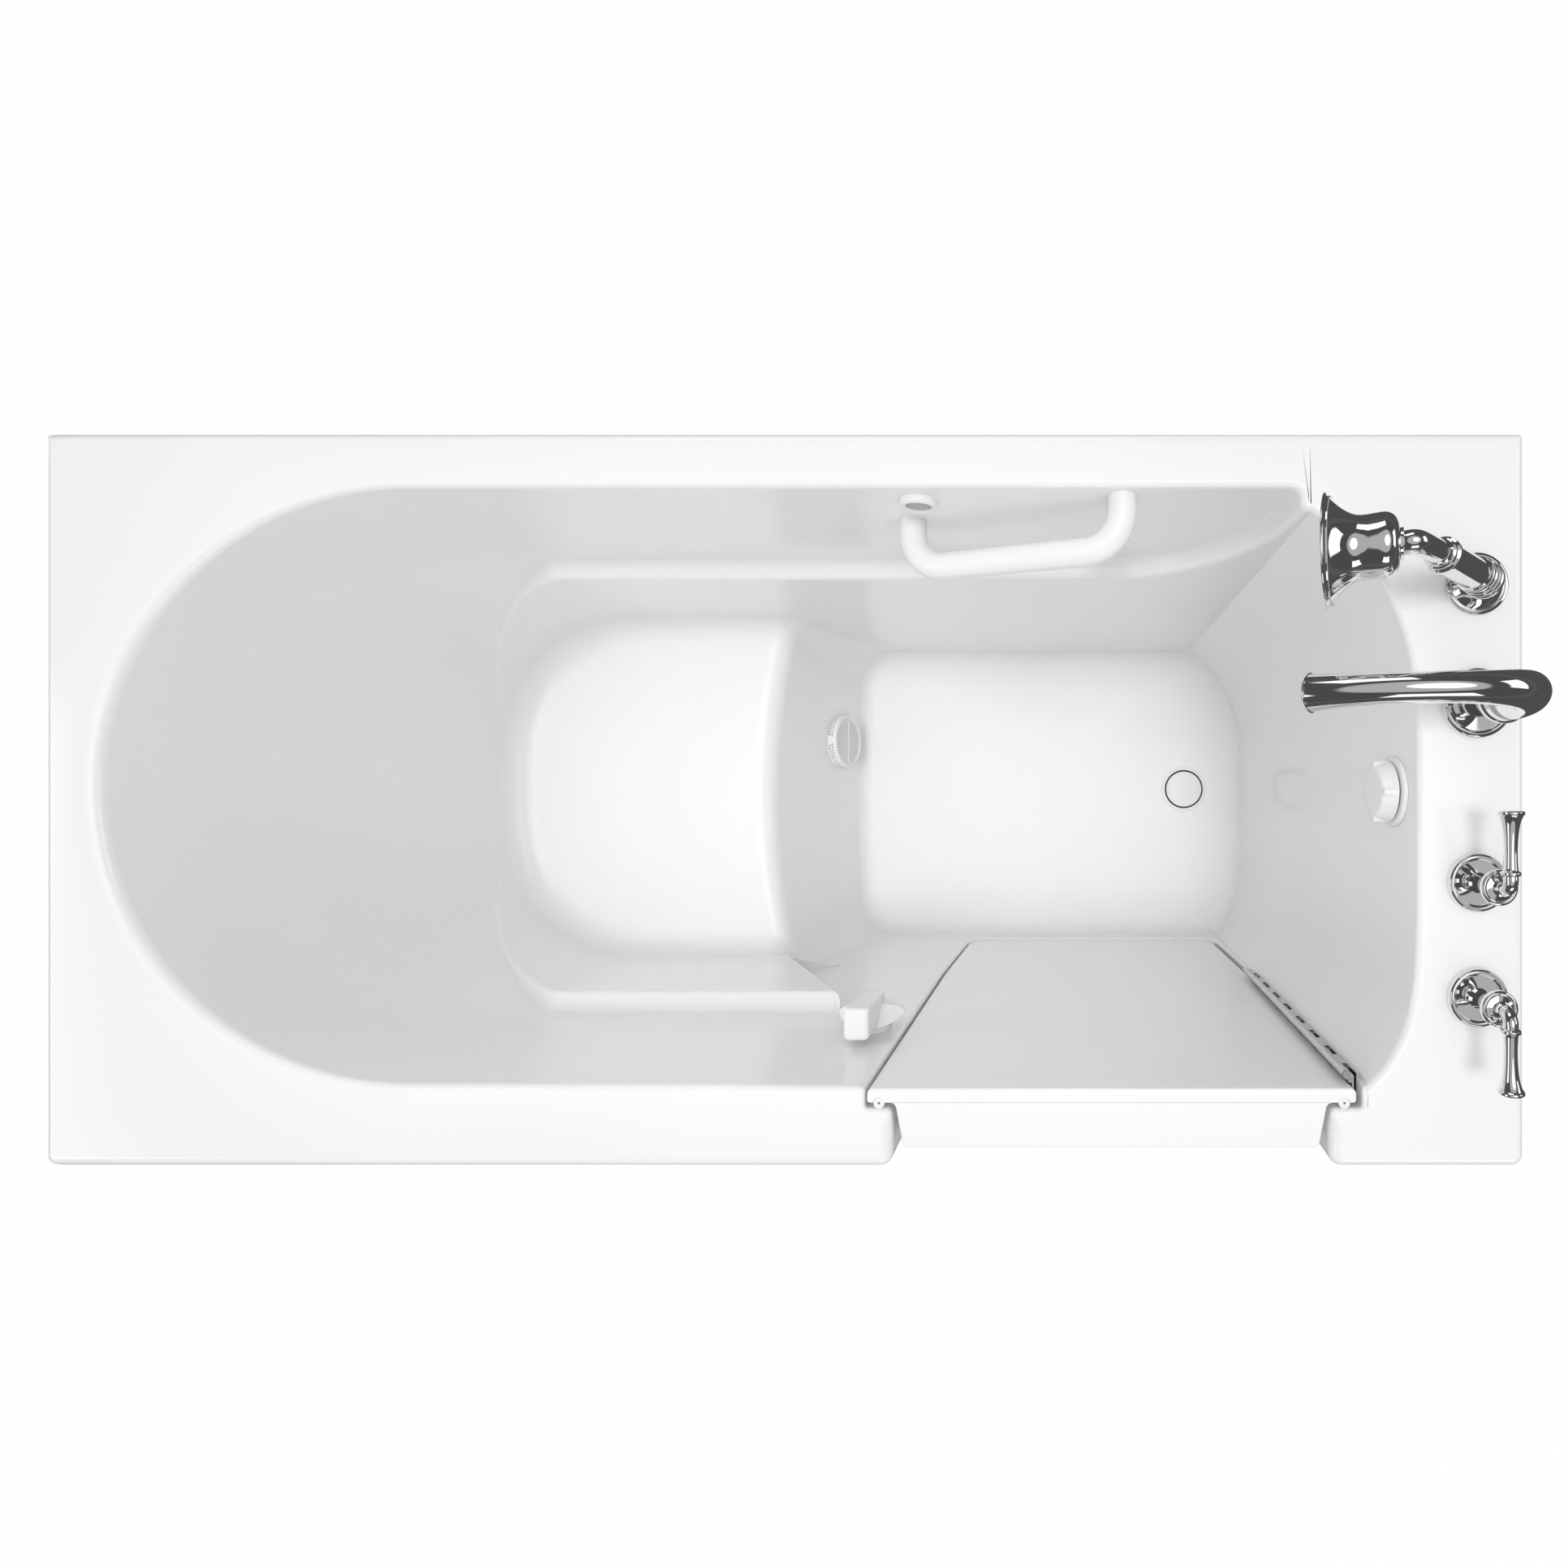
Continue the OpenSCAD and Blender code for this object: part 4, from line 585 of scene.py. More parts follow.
for dx, depth in step_profile:
    columns.append(Column(
        "step", -1, deck_edge(step_x(deck_z) + dx, -half_w),
        lambda z, dx=dx: Vector((step_x(z) + dx, front_wall_y(step_x(z) + dx, z))),
        lambda z, dx=dx, d=depth: Vector((step_x(z) + dx, low_front - d)),
        share=1 - depth / 28, dx=dx, depth=depth))
corner_x = end_wall_x(foot_front)
for k in range(1, 31):
    def along(x0, t=k / 30):
        return mix(x0, corner_x, t)
    columns.append(Column(
        "plain", -1, deck_edge(along(step_x(deck_z) + step_half), -half_w),
        lambda z, f=along: Vector((f(step_x(z) + step_half),
                                   front_wall_y(f(step_x(z) + step_half), z))),
        lambda z, f=along: Vector((f(step_x(z) + step_half), foot_front)),
        ledge=ledge_z - 8 * k / 30, share=0,
        blend=lambda x, z, f=along: Vector((f(x + (strip_l + step_half)), foot_front, z))))
end_places = edge_run((corner_x, -half_w), (half_l, 0), edge_r, (8, 5, 9))[:-1] + edge_run(
    (half_l, 0), (end_wall_x(low_back), half_w), 5, (9, 4, 8))
for k, outer in enumerate(end_places):
    t = k / (len(end_places) - 1)
    y = mix(foot_front, low_back, t)
    columns.append(Column(
        "plain", 1, outer, still(end_wall_x(y), y), still(end_wall_x(y), y),
        ledge=ledge_z - 8, share=0,
        blend=lambda x, z, y=y: Vector((end_wall_x(y), y, z))))
print("columns so far:", len(columns))

# %% Climbing ledge
climb_x, climb_l, climb_h = well_right - 322, 202, deck_z - ledge_z


def climb_point(j, angle):
    """A point of the wall-side ledge where it rises to the deck in a quarter oval."""
    w, h = ledge_ring[j]
    return Vector((climb_x + (climb_l - h) * math.cos(angle), well_back - w,
                   deck_z + (climb_h - h) * math.sin(angle)))


class Climb(Column):
    """A column whose upper part follows the climbing ledge."""

    def __init__(self, j, t=0.0, span=None):
        self.ring_j, self.t, self.span = j, t, span
        x = climb_point(j, 0).x if span is None else self.top_x()
        super().__init__("plain", 1, deck_edge(x, half_w), None, None, share=0,
                         blend=self.at_wall)

    def top_x(self):
        return self.span(climb_point(self.ring_j, 0).x, self.t)

    def top(self, angle):
        point = climb_point(self.ring_j, angle)
        if self.span:
            point.x = self.span(point.x, self.t)
        return point

    def foot_x(self):
        return self.span(climb_x, self.t) if self.span else climb_x

    def at_wall(self, x, z):
        if self.span and self.ring_j == 0:
            return Vector((mix(climb_x, x, self.t), low_back, z))
        return Vector((self.foot_x(), low_back, z))


last_ring = len(ledge_ring) - 1
for k in range(1, 8):
    columns.append(Climb(last_ring, k / 7, lambda x, t: mix(end_wall_x(low_back), x, t)))
for j in range(last_ring, -1, -1):
    columns.append(Climb(j))
for k in range(1, 21):
    columns.append(Climb(0, k / 20, lambda x, t: mix(x, ring_x, t)))
for j in range(7):
    columns.append(Column(
        "strip", 1, deck_edge(ring_x, half_w), still(ring_x, well_back), still(ring_x, low_back),
        inward=Vector((0, -1)), j=j))
for k in range(0, 9):
    x = mix(ring_x, oval_x, k / 8)
    columns.append(Column("seat", 1, deck_edge(x, half_w), still(x, well_back),
                          still(x, low_back), inward=Vector((0, -1))))
columns += oval_columns(math.pi / 2, 24, back_places)[1:]
print("columns of the sheet:", len(columns))


# %% Spread the seat's columns over its front edge
def spread(run, start, end):
    """Gives the columns of a run their place v on the seat's edge, by length."""
    lengths = [0.0]
    for a, b in zip(run, run[1:]):
        lengths.append(lengths[-1] + (a.lower(seat_z + seat_r) - b.lower(seat_z + seat_r)).length)
    for column, length in zip(run, lengths):
        column.v = mix(start, end, length / lengths[-1])


seats = [c for c in columns if c.kind == "seat"]
spread(seats[:33], 0, -1)
spread(seats[33:], 1, 0)
print("seat columns:", len(seats))


# %% Points of a column
def upper_points(column):
    if isinstance(column, Climb):
        return [column.top(a) for a in fall]
    low = column.ledge + 10 * column.share
    heights = [deck_z + (deck_z - low) * math.sin(a) for a in fall]
    return [Vector((*column.upper(z), z)) for z in heights]


def ledge_points(column):
    points = []
    for level, (w, h) in enumerate(ledge_ring[1:], 1):
        if isinstance(column, Climb):
            if column.span is None:
                w, h = ledge_ring[max(level, column.ring_j)]
                points.append(Vector((climb_x, well_back - w, ledge_z + h)))
            elif column.ring_j == 0:
                point = Vector((mix(climb_x, ring_x, column.t), well_back - w, ledge_z + h))
                points.append(point)
            else:
                points.append(Vector((column.foot_x(), low_back, ledge_z - 8)))
            continue
        z = column.ledge + column.share * h
        points.append(Vector((*column.upper(z).lerp(column.lower(z), w / 24), z)))
    return points


def wall_points(column, top):
    """The lower wall down to the seat's fillet, and that fillet."""
    bottom = seat_z + seat_r
    points = []
    for k in range(1, 7):
        z = mix(top, bottom, k / 6)
        if isinstance(column, Climb):
            points.append(column.at_wall(ring_x, z))
        else:
            points.append(Vector((*column.lower(z), z)))
    for level in range(1, 7):
        if column.kind in ("seat", "strip"):
            k = level if column.kind == "seat" else min(level, column.j)
            w, h = seat_ring[k]
            z = seat_z + h
            points.append(Vector((*(column.lower(z) + column.inward * w), z)))
        else:
            points.append(points[-1].copy())
    return points


def seat_points(column, start):
    """Across the flat of the seat, square off the wall first."""
    if column.kind != "seat":
        return [start.copy() for _ in range(3)]
    target = column.low_path()[0]
    extra = min(40, 0.3 * abs(target.y - start.y) + 0.3 * abs(target.x - start.x))
    first = start + Vector((*column.inward, 0)) * extra
    return [first, first.lerp(target, 1 / 3), first.lerp(target, 2 / 3)]


def low_points(column):
    if column.kind == "plain":
        guide = Column("strip", column.side, None, None, None, j=0)
        return [column.blend(p.x, p.z) for p in guide.low_path()]
    return column.low_path()


body = []
for column in columns:
    upper = upper_points(column)
    ledge = ledge_points(column)
    wall = wall_points(column, ledge[-1].z)
    body.append(upper + ledge + wall + seat_points(column, wall[-1]) + low_points(column))
print("levels below the rim:", len(body[0]))


# %% Rim, deck and foot well floor
def outward(points):
    """The level normal of a closed row of points, away from its middle."""
    normals = []
    count = len(points)
    for i, point in enumerate(points):
        a = b = i
        while (points[a] - point).xy.length < 0.5:
            a = (a - 1) % count
        while (points[b] - point).xy.length < 0.5:
            b = (b + 1) % count
        way = (points[b] - points[a]).xy.normalized()
        normals.append(Vector((way.y, -way.x, 0)))
    return normals


rim_normals = outward([run[0] for run in body])
foot_normals = outward([run[-1] for run in body])
rows = []
for column, run, out, foot in zip(columns, body, rim_normals, foot_normals):
    rim = run[0]
    fall_r = deck_z - rim.z
    points = [Vector((*column.outer(0), lip_z)), Vector((*column.outer(0), deck_z - edge_r))]
    points += [Vector((*column.outer(edge_r * (1 - math.cos(a))),
                       deck_z - edge_r * (1 - math.sin(a)))) for a in quarter[1:]]
    ring = [Vector((*(rim + out * fall_r * (1 - math.cos(a))).xy,
                    deck_z - fall_r * (1 - math.sin(a)))) for a in reversed(quarter[1:])]
    points += [ring[0] + out * (0.5 if isinstance(column, Climb) else 10)] + ring + run
    low = run[-1]
    for a in quarter[1:]:
        z = floor_z + foot_r * (1 - math.sin(a))
        points.append(Vector((*(low - foot * foot_r * (1 - math.cos(a))).xy, z)))
    points.append(points[-1] - foot * 5)
    rows.append(points)
shell_mesh = woven(rows)
inner = [e for e in shell_mesh.edges
         if e.is_boundary and all(v.co.z < floor_z + 1 for v in e.verts)]
bmesh.ops.triangle_fill(shell_mesh, edges=inner, use_beauty=True, use_dissolve=False)
bmesh.ops.recalc_face_normals(shell_mesh, faces=shell_mesh.faces)
flat = max((f for f in shell_mesh.faces if f.calc_center_median().z > deck_z - 1),
           key=lambda f: f.calc_area())
if flat.normal.z < 0:
    bmesh.ops.reverse_faces(shell_mesh, faces=shell_mesh.faces)
shell = new_piece("shell", shell_mesh, shell_coat, replaces=["tub_shell"])
thicken(shell, shell_wall)
print("shell sheet levels:", len(rows[0]))

# %% [markdown]
# The doorway is a rebated opening: the door's flange drops into a shallow pocket, the
# seal closes on the pocket's floor, and the door's body fills the opening through the
# wall. It is woven as a strip of its own. Each profile point, from the wall face
# round the rebate to the outer face, runs down one jamb, along the sill and up the
# other, and its two ends roll over onto the deck. The sheet of the shell is cut away
# under the strip with one boolean, whose edge the strip covers.

# %% Doorway sizes
flange_low, flange_high = box_mm("door_inner_panel")
pocket_left, pocket_right = flange_low.x - 2.5, flange_high.x + 6.5
pocket_z = flange_low.z - 2.5
pocket_y = well_front - 25
rebate_latch, rebate_hinge, sill_h = 27.5, 32.5, 28
taper_z, door_taper, door_corner = 467, 9, 40
cover_latch, cover_hinge, cover_sill = 12, 4.5, 12
jamb_heights = [deck_z - 16, 900, 820, 740, 660, 580, 500, taper_z, 420, 370, 320, 280]
print("pocket from", pocket_left, "to", pocket_right)


# %% Doorway outlines
def jamb_x(side, z):
    """The pocket's edge at height z; side is -1 for the latch and 1 for the hinge."""
    taper = door_taper * clamp((taper_z - z) / (taper_z - pocket_z))
    return pocket_left + taper if side < 0 else pocket_right - taper


def doorway_path(rebate, grow):
    """Down the latch jamb, along the sill and up the hinge jamb, as (x, z, side).

    rebate is 0 on the pocket's edge and 1 on the opening's; grow(side) is added
    outwards, and side 0 is the sill.
    """
    low = pocket_z + rebate * sill_h - grow(0)
    points = []
    for side, wide in ((-1, rebate_latch), (1, rebate_hinge)):
        def edge(z, side=side, wide=wide):
            return jamb_x(side, z) - side * (rebate * wide - grow(side))
        r = door_corner + min(grow(side), grow(0))
        run = [(edge(z), z, side) for z in jamb_heights]
        foot = edge(low)
        for k in range(9):
            a = math.radians(90 * k / 8)
            run.append((foot - side * r * (1 - math.cos(a)), low + r * (1 - math.sin(a)),
                        side if k < 5 else 0))
        for t in (0.35, 0.7, 1):
            middle = (pocket_left + pocket_right) / 2
            run.append((mix(foot - side * r, middle, t), low, 0))
        points += run if side < 0 else run[::-1]
    return points


def cover(side):
    """How far the strip reaches over the wall beside the pocket."""
    return {-1: cover_latch, 1: cover_hinge, 0: cover_sill}[side]


def rebate_width(side):
    """How far the opening's edge stands in from the pocket's edge."""
    return {-1: rebate_latch, 1: rebate_hinge, 0: sill_h}[side]


print("points along the doorway:", len(doorway_path(0, cover)))

# %% Cut the doorway and the drain hole
path = doorway_path(0, cover)
x_first, x_last = path[0][0], path[-1][0]
above = deck_z + 20
loop = [(x_first, above)] + [(x, z) for x, z, _ in path] + [(x_last, above), (x_first, above)]
cut_mesh = woven([[Vector((x, y, z)) for x, z in loop] for y in (foot_front + 8, -half_w - 20)])
fill_holes(cut_mesh)
drain_low, drain_high = box_mm("drain_flange")
drain_x, drain_y = (drain_low.x + drain_high.x) / 2, (drain_low.y + drain_high.y) / 2
drain_neck = 42
bmesh.ops.create_cone(cut_mesh, cap_ends=True, segments=64, radius1=drain_neck, radius2=drain_neck,
                      depth=60, matrix=Matrix.Translation((drain_x, drain_y, floor_z)))
bmesh.ops.triangulate(cut_mesh, faces=[f for f in cut_mesh.faces if len(f.verts) > 4])
bmesh.ops.recalc_face_normals(cut_mesh, faces=cut_mesh.faces)
carve(shell, cut_mesh)


def sink_strays(piece):
    """Pulls the inner skin under the deck where a tight bend pushed it out."""
    for vertex in piece.data.vertices:
        if vertex.co.z > (deck_z + 0.1) * MM:
            vertex.co.z = (deck_z - 3) * MM


sink_strays(shell)
even_shading(shell)
print("shell after the cut:", len(shell.data.polygons), "faces")

# %% Doorway profile
wall_round, floor_round, sill_round, outer_round = 5, 4, 6, 12


def wall_radius(side):
    """The rounding between wall and pocket, smaller where the strip is narrow."""
    return min(wall_round, cover(side) - 0.5)


# rebate, growth, depth, direction into the moulding (growth, y), roll at the top, cap place
profile = [(0, cover, foot_front, (0, -1), rim_r, 0.0)]
for a in quarter[::2]:
    profile.append((0, lambda s, a=a: wall_radius(s) * (1 - math.sin(a)),
                    lambda s, a=a: foot_front - wall_radius(s) * (1 - math.cos(a)),
                    (math.sin(a), -math.cos(a)), 4.5, 0.02 + 0.01 * a))
for a in quarter[::2]:
    profile.append((0, lambda s, a=a: floor_round * (math.cos(a) - 1),
                    pocket_y + floor_round * (1 - math.sin(a)), (math.cos(a), -math.sin(a)), 5,
                    0.17 + 0.08 * a))
for a in quarter[::2]:
    profile.append((1, lambda s, a=a: sill_round * (1 - math.sin(a)),
                    pocket_y - sill_round * (1 - math.cos(a)), (math.sin(a), -math.cos(a)), sill_round,
                    0.36 + 0.05 * a))
for t, roll in ((0.15, 9), (0.35, 14), (0.6, 14), (0.85, outer_round)):
    profile.append((1, lambda s: 0, mix(pocket_y - sill_round, outer_round - half_w, t), (1, 0), roll,
                    0.5 + 0.3 * t))
for a in quarter:
    profile.append((1, lambda s, a=a: outer_round * (1 - math.cos(a)),
                    outer_round * (1 - math.sin(a)) - half_w, (math.cos(a), math.sin(a)), outer_round,
                    0.85 + 0.05 * a))
profile.append((1, lambda s: rebate_width(s) + cover(s), -half_w, (0, 1), outer_round, 1.0))
print("profile points:", len(profile))


# %% Weave the doorway
def jamb_row(rebate, grow, depth, into, roll, cap):
    """One row of the strip: the profile point's path, with an end rolled over at each jamb."""
    path = doorway_path(rebate, grow)
    row = []
    for x, z, side in path:
        row.append(Vector((x, depth(side) if callable(depth) else depth, z)))
    ends = []
    for side, (x, _, _) in ((-1, path[0]), (1, path[-1])):
        y = depth(side) if callable(depth) else depth
        foot = Vector((x, y, deck_z))
        way = Vector((side * into[0], into[1], 0))
        cap_x = pocket_left - cover_latch if side < 0 else pocket_right + cover_hinge
        cap_y = mix(foot_front - rim_r, outer_round - half_w, cap)
        end = [Vector((cap_x, cap_y, deck_z))]
        end += [foot + way * roll * (1 - math.cos(a)) - Vector((0, 0, roll * (1 - math.sin(a))))
                for a in reversed(quarter)]
        ends.append(end)
    return ends[0] + row + ends[1][::-1]


jamb_mesh = woven([jamb_row(*p) for p in profile])
bmesh.ops.recalc_face_normals(jamb_mesh, faces=jamb_mesh.faces)
reveal = min(jamb_mesh.faces, key=lambda f: (f.calc_center_median() - Vector((
    pocket_left + rebate_latch, (pocket_y - half_w) / 2, 700))).length)
if reveal.normal.x < 0:
    bmesh.ops.reverse_faces(jamb_mesh, faces=jamb_mesh.faces)
doorway = new_piece("doorway", jamb_mesh, gel_coat, replaces=["tub_shell"])
thicken(doorway, jamb_wall)
bake(doorway)
sink_strays(doorway)
even_shading(doorway)
print("doorway woven")

# %% [markdown]
# Most fittings are turned, bent or swept. Three helpers make them the way a workshop
# does: `rounded` draws a line whose corners are arcs, `turned` spins such a line round
# the Z axis as a lathe would, and `swept` carries a circle along a route and bridges
# each circle to the next. `aimed` then turns the shape's Z axis to where it points.


# %% Lines, turned shapes and swept tubes
def rounded(corners, steps=5, closed=False):
    """A line through corners; each is a place followed by the radius that rounds it."""
    line = []
    for i, (*place, radius) in enumerate(corners):
        here = Vector(place)
        if radius == 0 or not closed and i in (0, len(corners) - 1):
            line.append(here)
            continue
        back = (Vector(corners[i - 1][:-1]) - here).normalized()
        ahead = (Vector(corners[(i + 1) % len(corners)][:-1]) - here).normalized()
        half = back.angle(ahead) / 2
        centre = here + (back + ahead).normalized() * radius / math.sin(half)
        start = here + back * radius / math.tan(half) - centre
        end = here + ahead * radius / math.tan(half) - centre
        line += [centre + start.slerp(end, k / steps) * radius for k in range(steps + 1)]
    return line


def flowing(points, steps=6):
    """A smooth line through every point (a Catmull-Rom spline)."""
    places = [Vector(p) for p in points]
    places = [places[0] * 2 - places[1]] + places + [places[-1] * 2 - places[-2]]
    line = []
    for a, b, c, d in zip(places, places[1:], places[2:], places[3:]):
        for k in range(steps):
            t = k / steps
            line.append((b * 2 + (c - a) * t + (a * 2 - b * 5 + c * 4 - d) * t ** 2
                         + (b * 3 - a - c * 3 + d) * t ** 3) / 2)
    return line + [places[-2]]


def turned(profile, steps=64):
    """Spins a line of (radius, height) points about the Z axis."""
    bm = bmesh.new()
    verts = [bm.verts.new((r, 0, h)) for r, h in profile]
    edges = [bm.edges.new(pair) for pair in zip(verts, verts[1:])]
    bmesh.ops.spin(bm, geom=verts + edges, axis=(0, 0, 1), cent=(0, 0, 0),
                   angle=2 * math.pi, steps=steps, use_merge=True)
    bmesh.ops.remove_doubles(bm, verts=bm.verts, dist=0.01)
    bmesh.ops.recalc_face_normals(bm, faces=bm.faces)
    return bm


def aimed(bm, place, way):
    """Turns a shape's Z axis to a direction and moves it to its place."""
    turn = Vector(way).to_track_quat("Z", "Y").to_matrix().to_4x4()
    bmesh.ops.transform(bm, matrix=Matrix.Translation(place) @ turn, verts=bm.verts)
    return bm


def headings(route):
    """The direction of a route at each of its points."""
    return [(b - a).normalized() for a, b in zip(route[:1] + route, route[1:] + route[-1:])]


def swept(route, radii, sides=32, capped=True, ways=None, across=None):
    """A tube along a route, with a radius at each of its points."""
    bm = bmesh.new()
    last = []
    for place, radius, way in zip(route, radii, ways or headings(route)):
        across = (way.orthogonal() if across is None else across - way * across.dot(way)).normalized()
        stand = Matrix((across, way.cross(across), way)).transposed().to_4x4()
        stand.translation = place
        ring = bmesh.ops.create_circle(bm, cap_ends=False, segments=sides, radius=radius,
                                       matrix=stand)["verts"]
        edges = list({e for v in ring for e in v.link_edges})
        if last:
            bmesh.ops.bridge_loops(bm, edges=last + edges)
        last = edges
    if capped:
        fill_holes(bm)
    bmesh.ops.recalc_face_normals(bm, faces=bm.faces)
    return bm


def joined(*shapes):
    """Several shapes in one mesh."""
    bm = bmesh.new()
    for shape in shapes:
        mesh = bpy.data.meshes.new("shape")
        shape.to_mesh(mesh)
        shape.free()
        bm.from_mesh(mesh)
        bpy.data.meshes.remove(mesh)
    return bm


def loft(rings):
    """A closed solid through closed rings of points, capped at both ends."""
    bm = woven([ring + ring[:1] for ring in rings])
    fill_holes(bm)
    bmesh.ops.recalc_face_normals(bm, faces=bm.faces)
    return bm


print("turning, sweeping and lofting ready")

# %% [markdown]
# The door is two mouldings glued back to back: a flange that closes the pocket from
# inside the tub, and a body that fills the opening behind it. Both are lofts of one
# outline, drawn in or out at each depth, so that every edge is rounded. The body spreads
# into the flange with a soft fillet and narrows toward the room. A bevel modifier would
# round all edges alike; the loft lets the top edges stay crisper than the sides.

# %% Door outline
shell_low, shell_high = box_mm("door_outer_shell")
top_share = 0.4


def door_ring(low, high, foot, shrink, y):
    """The door's outline at depth y, drawn in by shrink."""
    x0, x1, z0 = low.x + shrink, high.x - shrink, low.z + shrink
    z1 = high.z - max(0.0, shrink) * top_share
    r = max(1.0, foot - shrink)
    return rounded([
        (x0, y, z1, 2.5), (x0, y, taper_z, 0), (x0 + door_taper, y, z0, r),
        (x1 - door_taper, y, z0, r), (x1, y, taper_z, 0), (x1, y, z1, 2.5)], 6, closed=True)


print("door flange", [round(v) for v in (*flange_low, *flange_high)])

# %% Door flange
back_y, front_y = flange_low.y, flange_high.y
flange_back_r, flange_front_r = 2, 6
places = [(40, back_y)]
places += [(flange_back_r * (1 - math.sin(a)), back_y + flange_back_r * (1 - math.cos(a)))
           for a in quarter[::2]]
places += [(flange_front_r * (1 - math.cos(a)), front_y - flange_front_r * (1 - math.sin(a)))
           for a in quarter]
places.append((30, front_y))
flange = new_piece("door_flange", loft([
    door_ring(flange_low, flange_high, door_corner, *place) for place in places]),
    gel_coat, "door", ["door_inner_panel"])
print("door flange depth", round(front_y - back_y, 1))

# %% Bulb seal
seal_low, seal_high = box_mm("door_seal")
seal_r = (seal_high.y - seal_low.y) / 2
seal_y = (seal_high.y + seal_low.y) / 2
seal_wall, seal_corner = 4.4, 27.5


def seal_route(top):
    """The seal's line round the door's two sides and foot, up to a height."""
    x0, x1, z0 = seal_low.x + seal_r, seal_high.x - seal_r, seal_low.z + seal_r
    return rounded([
        (x0, seal_y, top, 0), (x0, seal_y, taper_z, 0), (x0 + door_taper, seal_y, z0, seal_corner),
        (x1 - door_taper, seal_y, z0, seal_corner), (x1, seal_y, taper_z, 0),
        (x1, seal_y, top, 0)], 8)


groove = seal_route(deck_z + 20)
carve(flange, swept(groove, [seal_r + 0.3] * len(groove), 24))
even_shading(flange)
route = seal_route(seal_high.z)
seal = new_piece("bulb_seal", swept(route, [seal_r] * len(route), 24, capped=False), soft_white,
                 "door", ["door_seal"])
thicken(seal, seal_wall)
bake(seal)
print("seal bulb", round(2 * seal_r, 1), "mm across")

# %% Door body
fillet, body_round, draft, body_corner = 7.5, 5, 6, 26
places = [(30, back_y)]
places += [(-fillet * (1 - math.sin(a)), back_y - fillet * (1 - math.cos(a))) for a in quarter]
places += [(draft + body_round * (1 - math.cos(a)), shell_low.y + body_round * (1 - math.sin(a)))
           for a in quarter]
places.append((30, shell_low.y))
even_shading(new_piece("door_body", loft([
    door_ring(shell_low, shell_high, body_corner, *place) for place in places]),
    gel_coat, "door", ["door_outer_shell"]))
print("door body depth", round(back_y - shell_low.y))

# %% [markdown]
# The latch is a cam shaped like an eye beside the door's edge, with an upright paddle
# for the fingers. The cam is a loft from tip to tip: each section is a rounded box,
# squarer at its upper corner by the wall, that swells toward the middle. One slanting cut at each tip
# leaves a flat facet with a crisp crease along it.

# %% Latch cam and paddle
latch_low, latch_high = box_mm("latch_lever")
latch_x, latch_z = (latch_low.x + latch_high.x) / 2, 772
cam_l, cam_h = latch_high.x - latch_low.x, 60
cam_y = well_front + 5
tip_y, cam_front, cam_up = 16, 13, 40
paddle_w, paddle_d, paddle_top, paddle_round = 30, 38, latch_high.z, 5


def cam_ring(turn):
    """The cam's section at a place between its tips, which are at turn -pi/2 and pi/2."""
    deep, tall = max(0.01, math.cos(turn) ** 1.35), max(0.01, math.cos(turn) ** 1.05)
    ring = []
    for k in range(40):
        a = 2 * math.pi * k / 40
        square = 0.35 if math.cos(a) < 0 < math.sin(a) else 0.8
        out, up = (math.copysign(abs(f(a)) ** square, f(a)) for f in (math.cos, math.sin))
        ring.append(Vector((latch_x + cam_l / 2 * math.sin(turn),
                            cam_y + tip_y + deep * out * (cam_front if out > 0 else tip_y),
                            latch_z + tall * up * (cam_up if up > 0 else cam_h / 2))))
    return ring


cam_rings = [cam_ring(math.pi * (k / 36 - 0.5)) for k in range(37)]
paddle_rings = []
for z, inset in [(latch_z - 14, 6), (latch_z - 9, 1.5), (latch_z, 0)] + [
        (paddle_top - paddle_round * (1 - math.sin(a)), paddle_round * (1 - math.cos(a)))
        for a in quarter]:
    x0, x1 = latch_x - paddle_w / 2 + inset, latch_x + paddle_w / 2 - inset
    y0, y1 = cam_y + 2 + inset, cam_y + 2 + paddle_d - inset
    paddle_rings.append(rounded([
        (x0, y0, z, 6), (x1, y0, z, 6), (x1, y1, z, 3), (x0, y1, z, 3)], 5, closed=True))
spindle = aimed(turned([(0, 0), (5, 0), (6, 1), (6, 40), (0, 40)], 24),
                (latch_x, latch_low.y, latch_z), (0, 1, 0))
facet_x, facet_y, facet_z = 0.526, 0.543, 0.656
cam = loft(cam_rings)
for side in (-1, 1):
    bmesh.ops.bisect_plane(
        cam, geom=cam.verts[:] + cam.edges[:] + cam.faces[:], clear_outer=True,
        plane_co=(latch_x + side * cam_l / 2, cam_y + tip_y, latch_z + 2),
        plane_no=(side * facet_x, facet_y, facet_z))
    fill_holes(cam)
bmesh.ops.recalc_face_normals(cam, faces=cam.faces)
even_shading(new_piece("cam_latch", joined(cam, loft(paddle_rings), spindle), moulded_white,
                       "latch", ["latch_lever"], sharp=28))
print("latch cam", round(cam_l), "x", cam_h)

# %% [markdown]
# The grab bar is a bent tube whose two legs run straight out of the wall. The
# legs stand at different heights, so the bar climbs toward the taps. A push button in
# a round bezel beside it switches the pump through an air tube.

# %% Grab bar
bar_low, bar_high = box_mm("grab_bar")
bar_r = 15.5
bar_y = bar_low.y + bar_r
ends = [(bar_low.x + bar_r, bar_low.z + bar_r),
        (bar_high.x - bar_r + 0.4, bar_high.z - bar_r + 0.4)]
(x0, z0), (x1, z1) = ends
bar_route = rounded([(x0, well_back + 3, z0, 0), (x0, bar_y, z0, 40), (x1, bar_y, z1, 40),
                     (x1, well_back + 3, z1, 0)], 12)
even_shading(new_piece("safety_bar", swept(bar_route, [bar_r] * len(bar_route), 48), moulded_white,
                       replaces=["grab_bar"]))
print("bar length", round((Vector(ends[1]) - Vector(ends[0])).length))

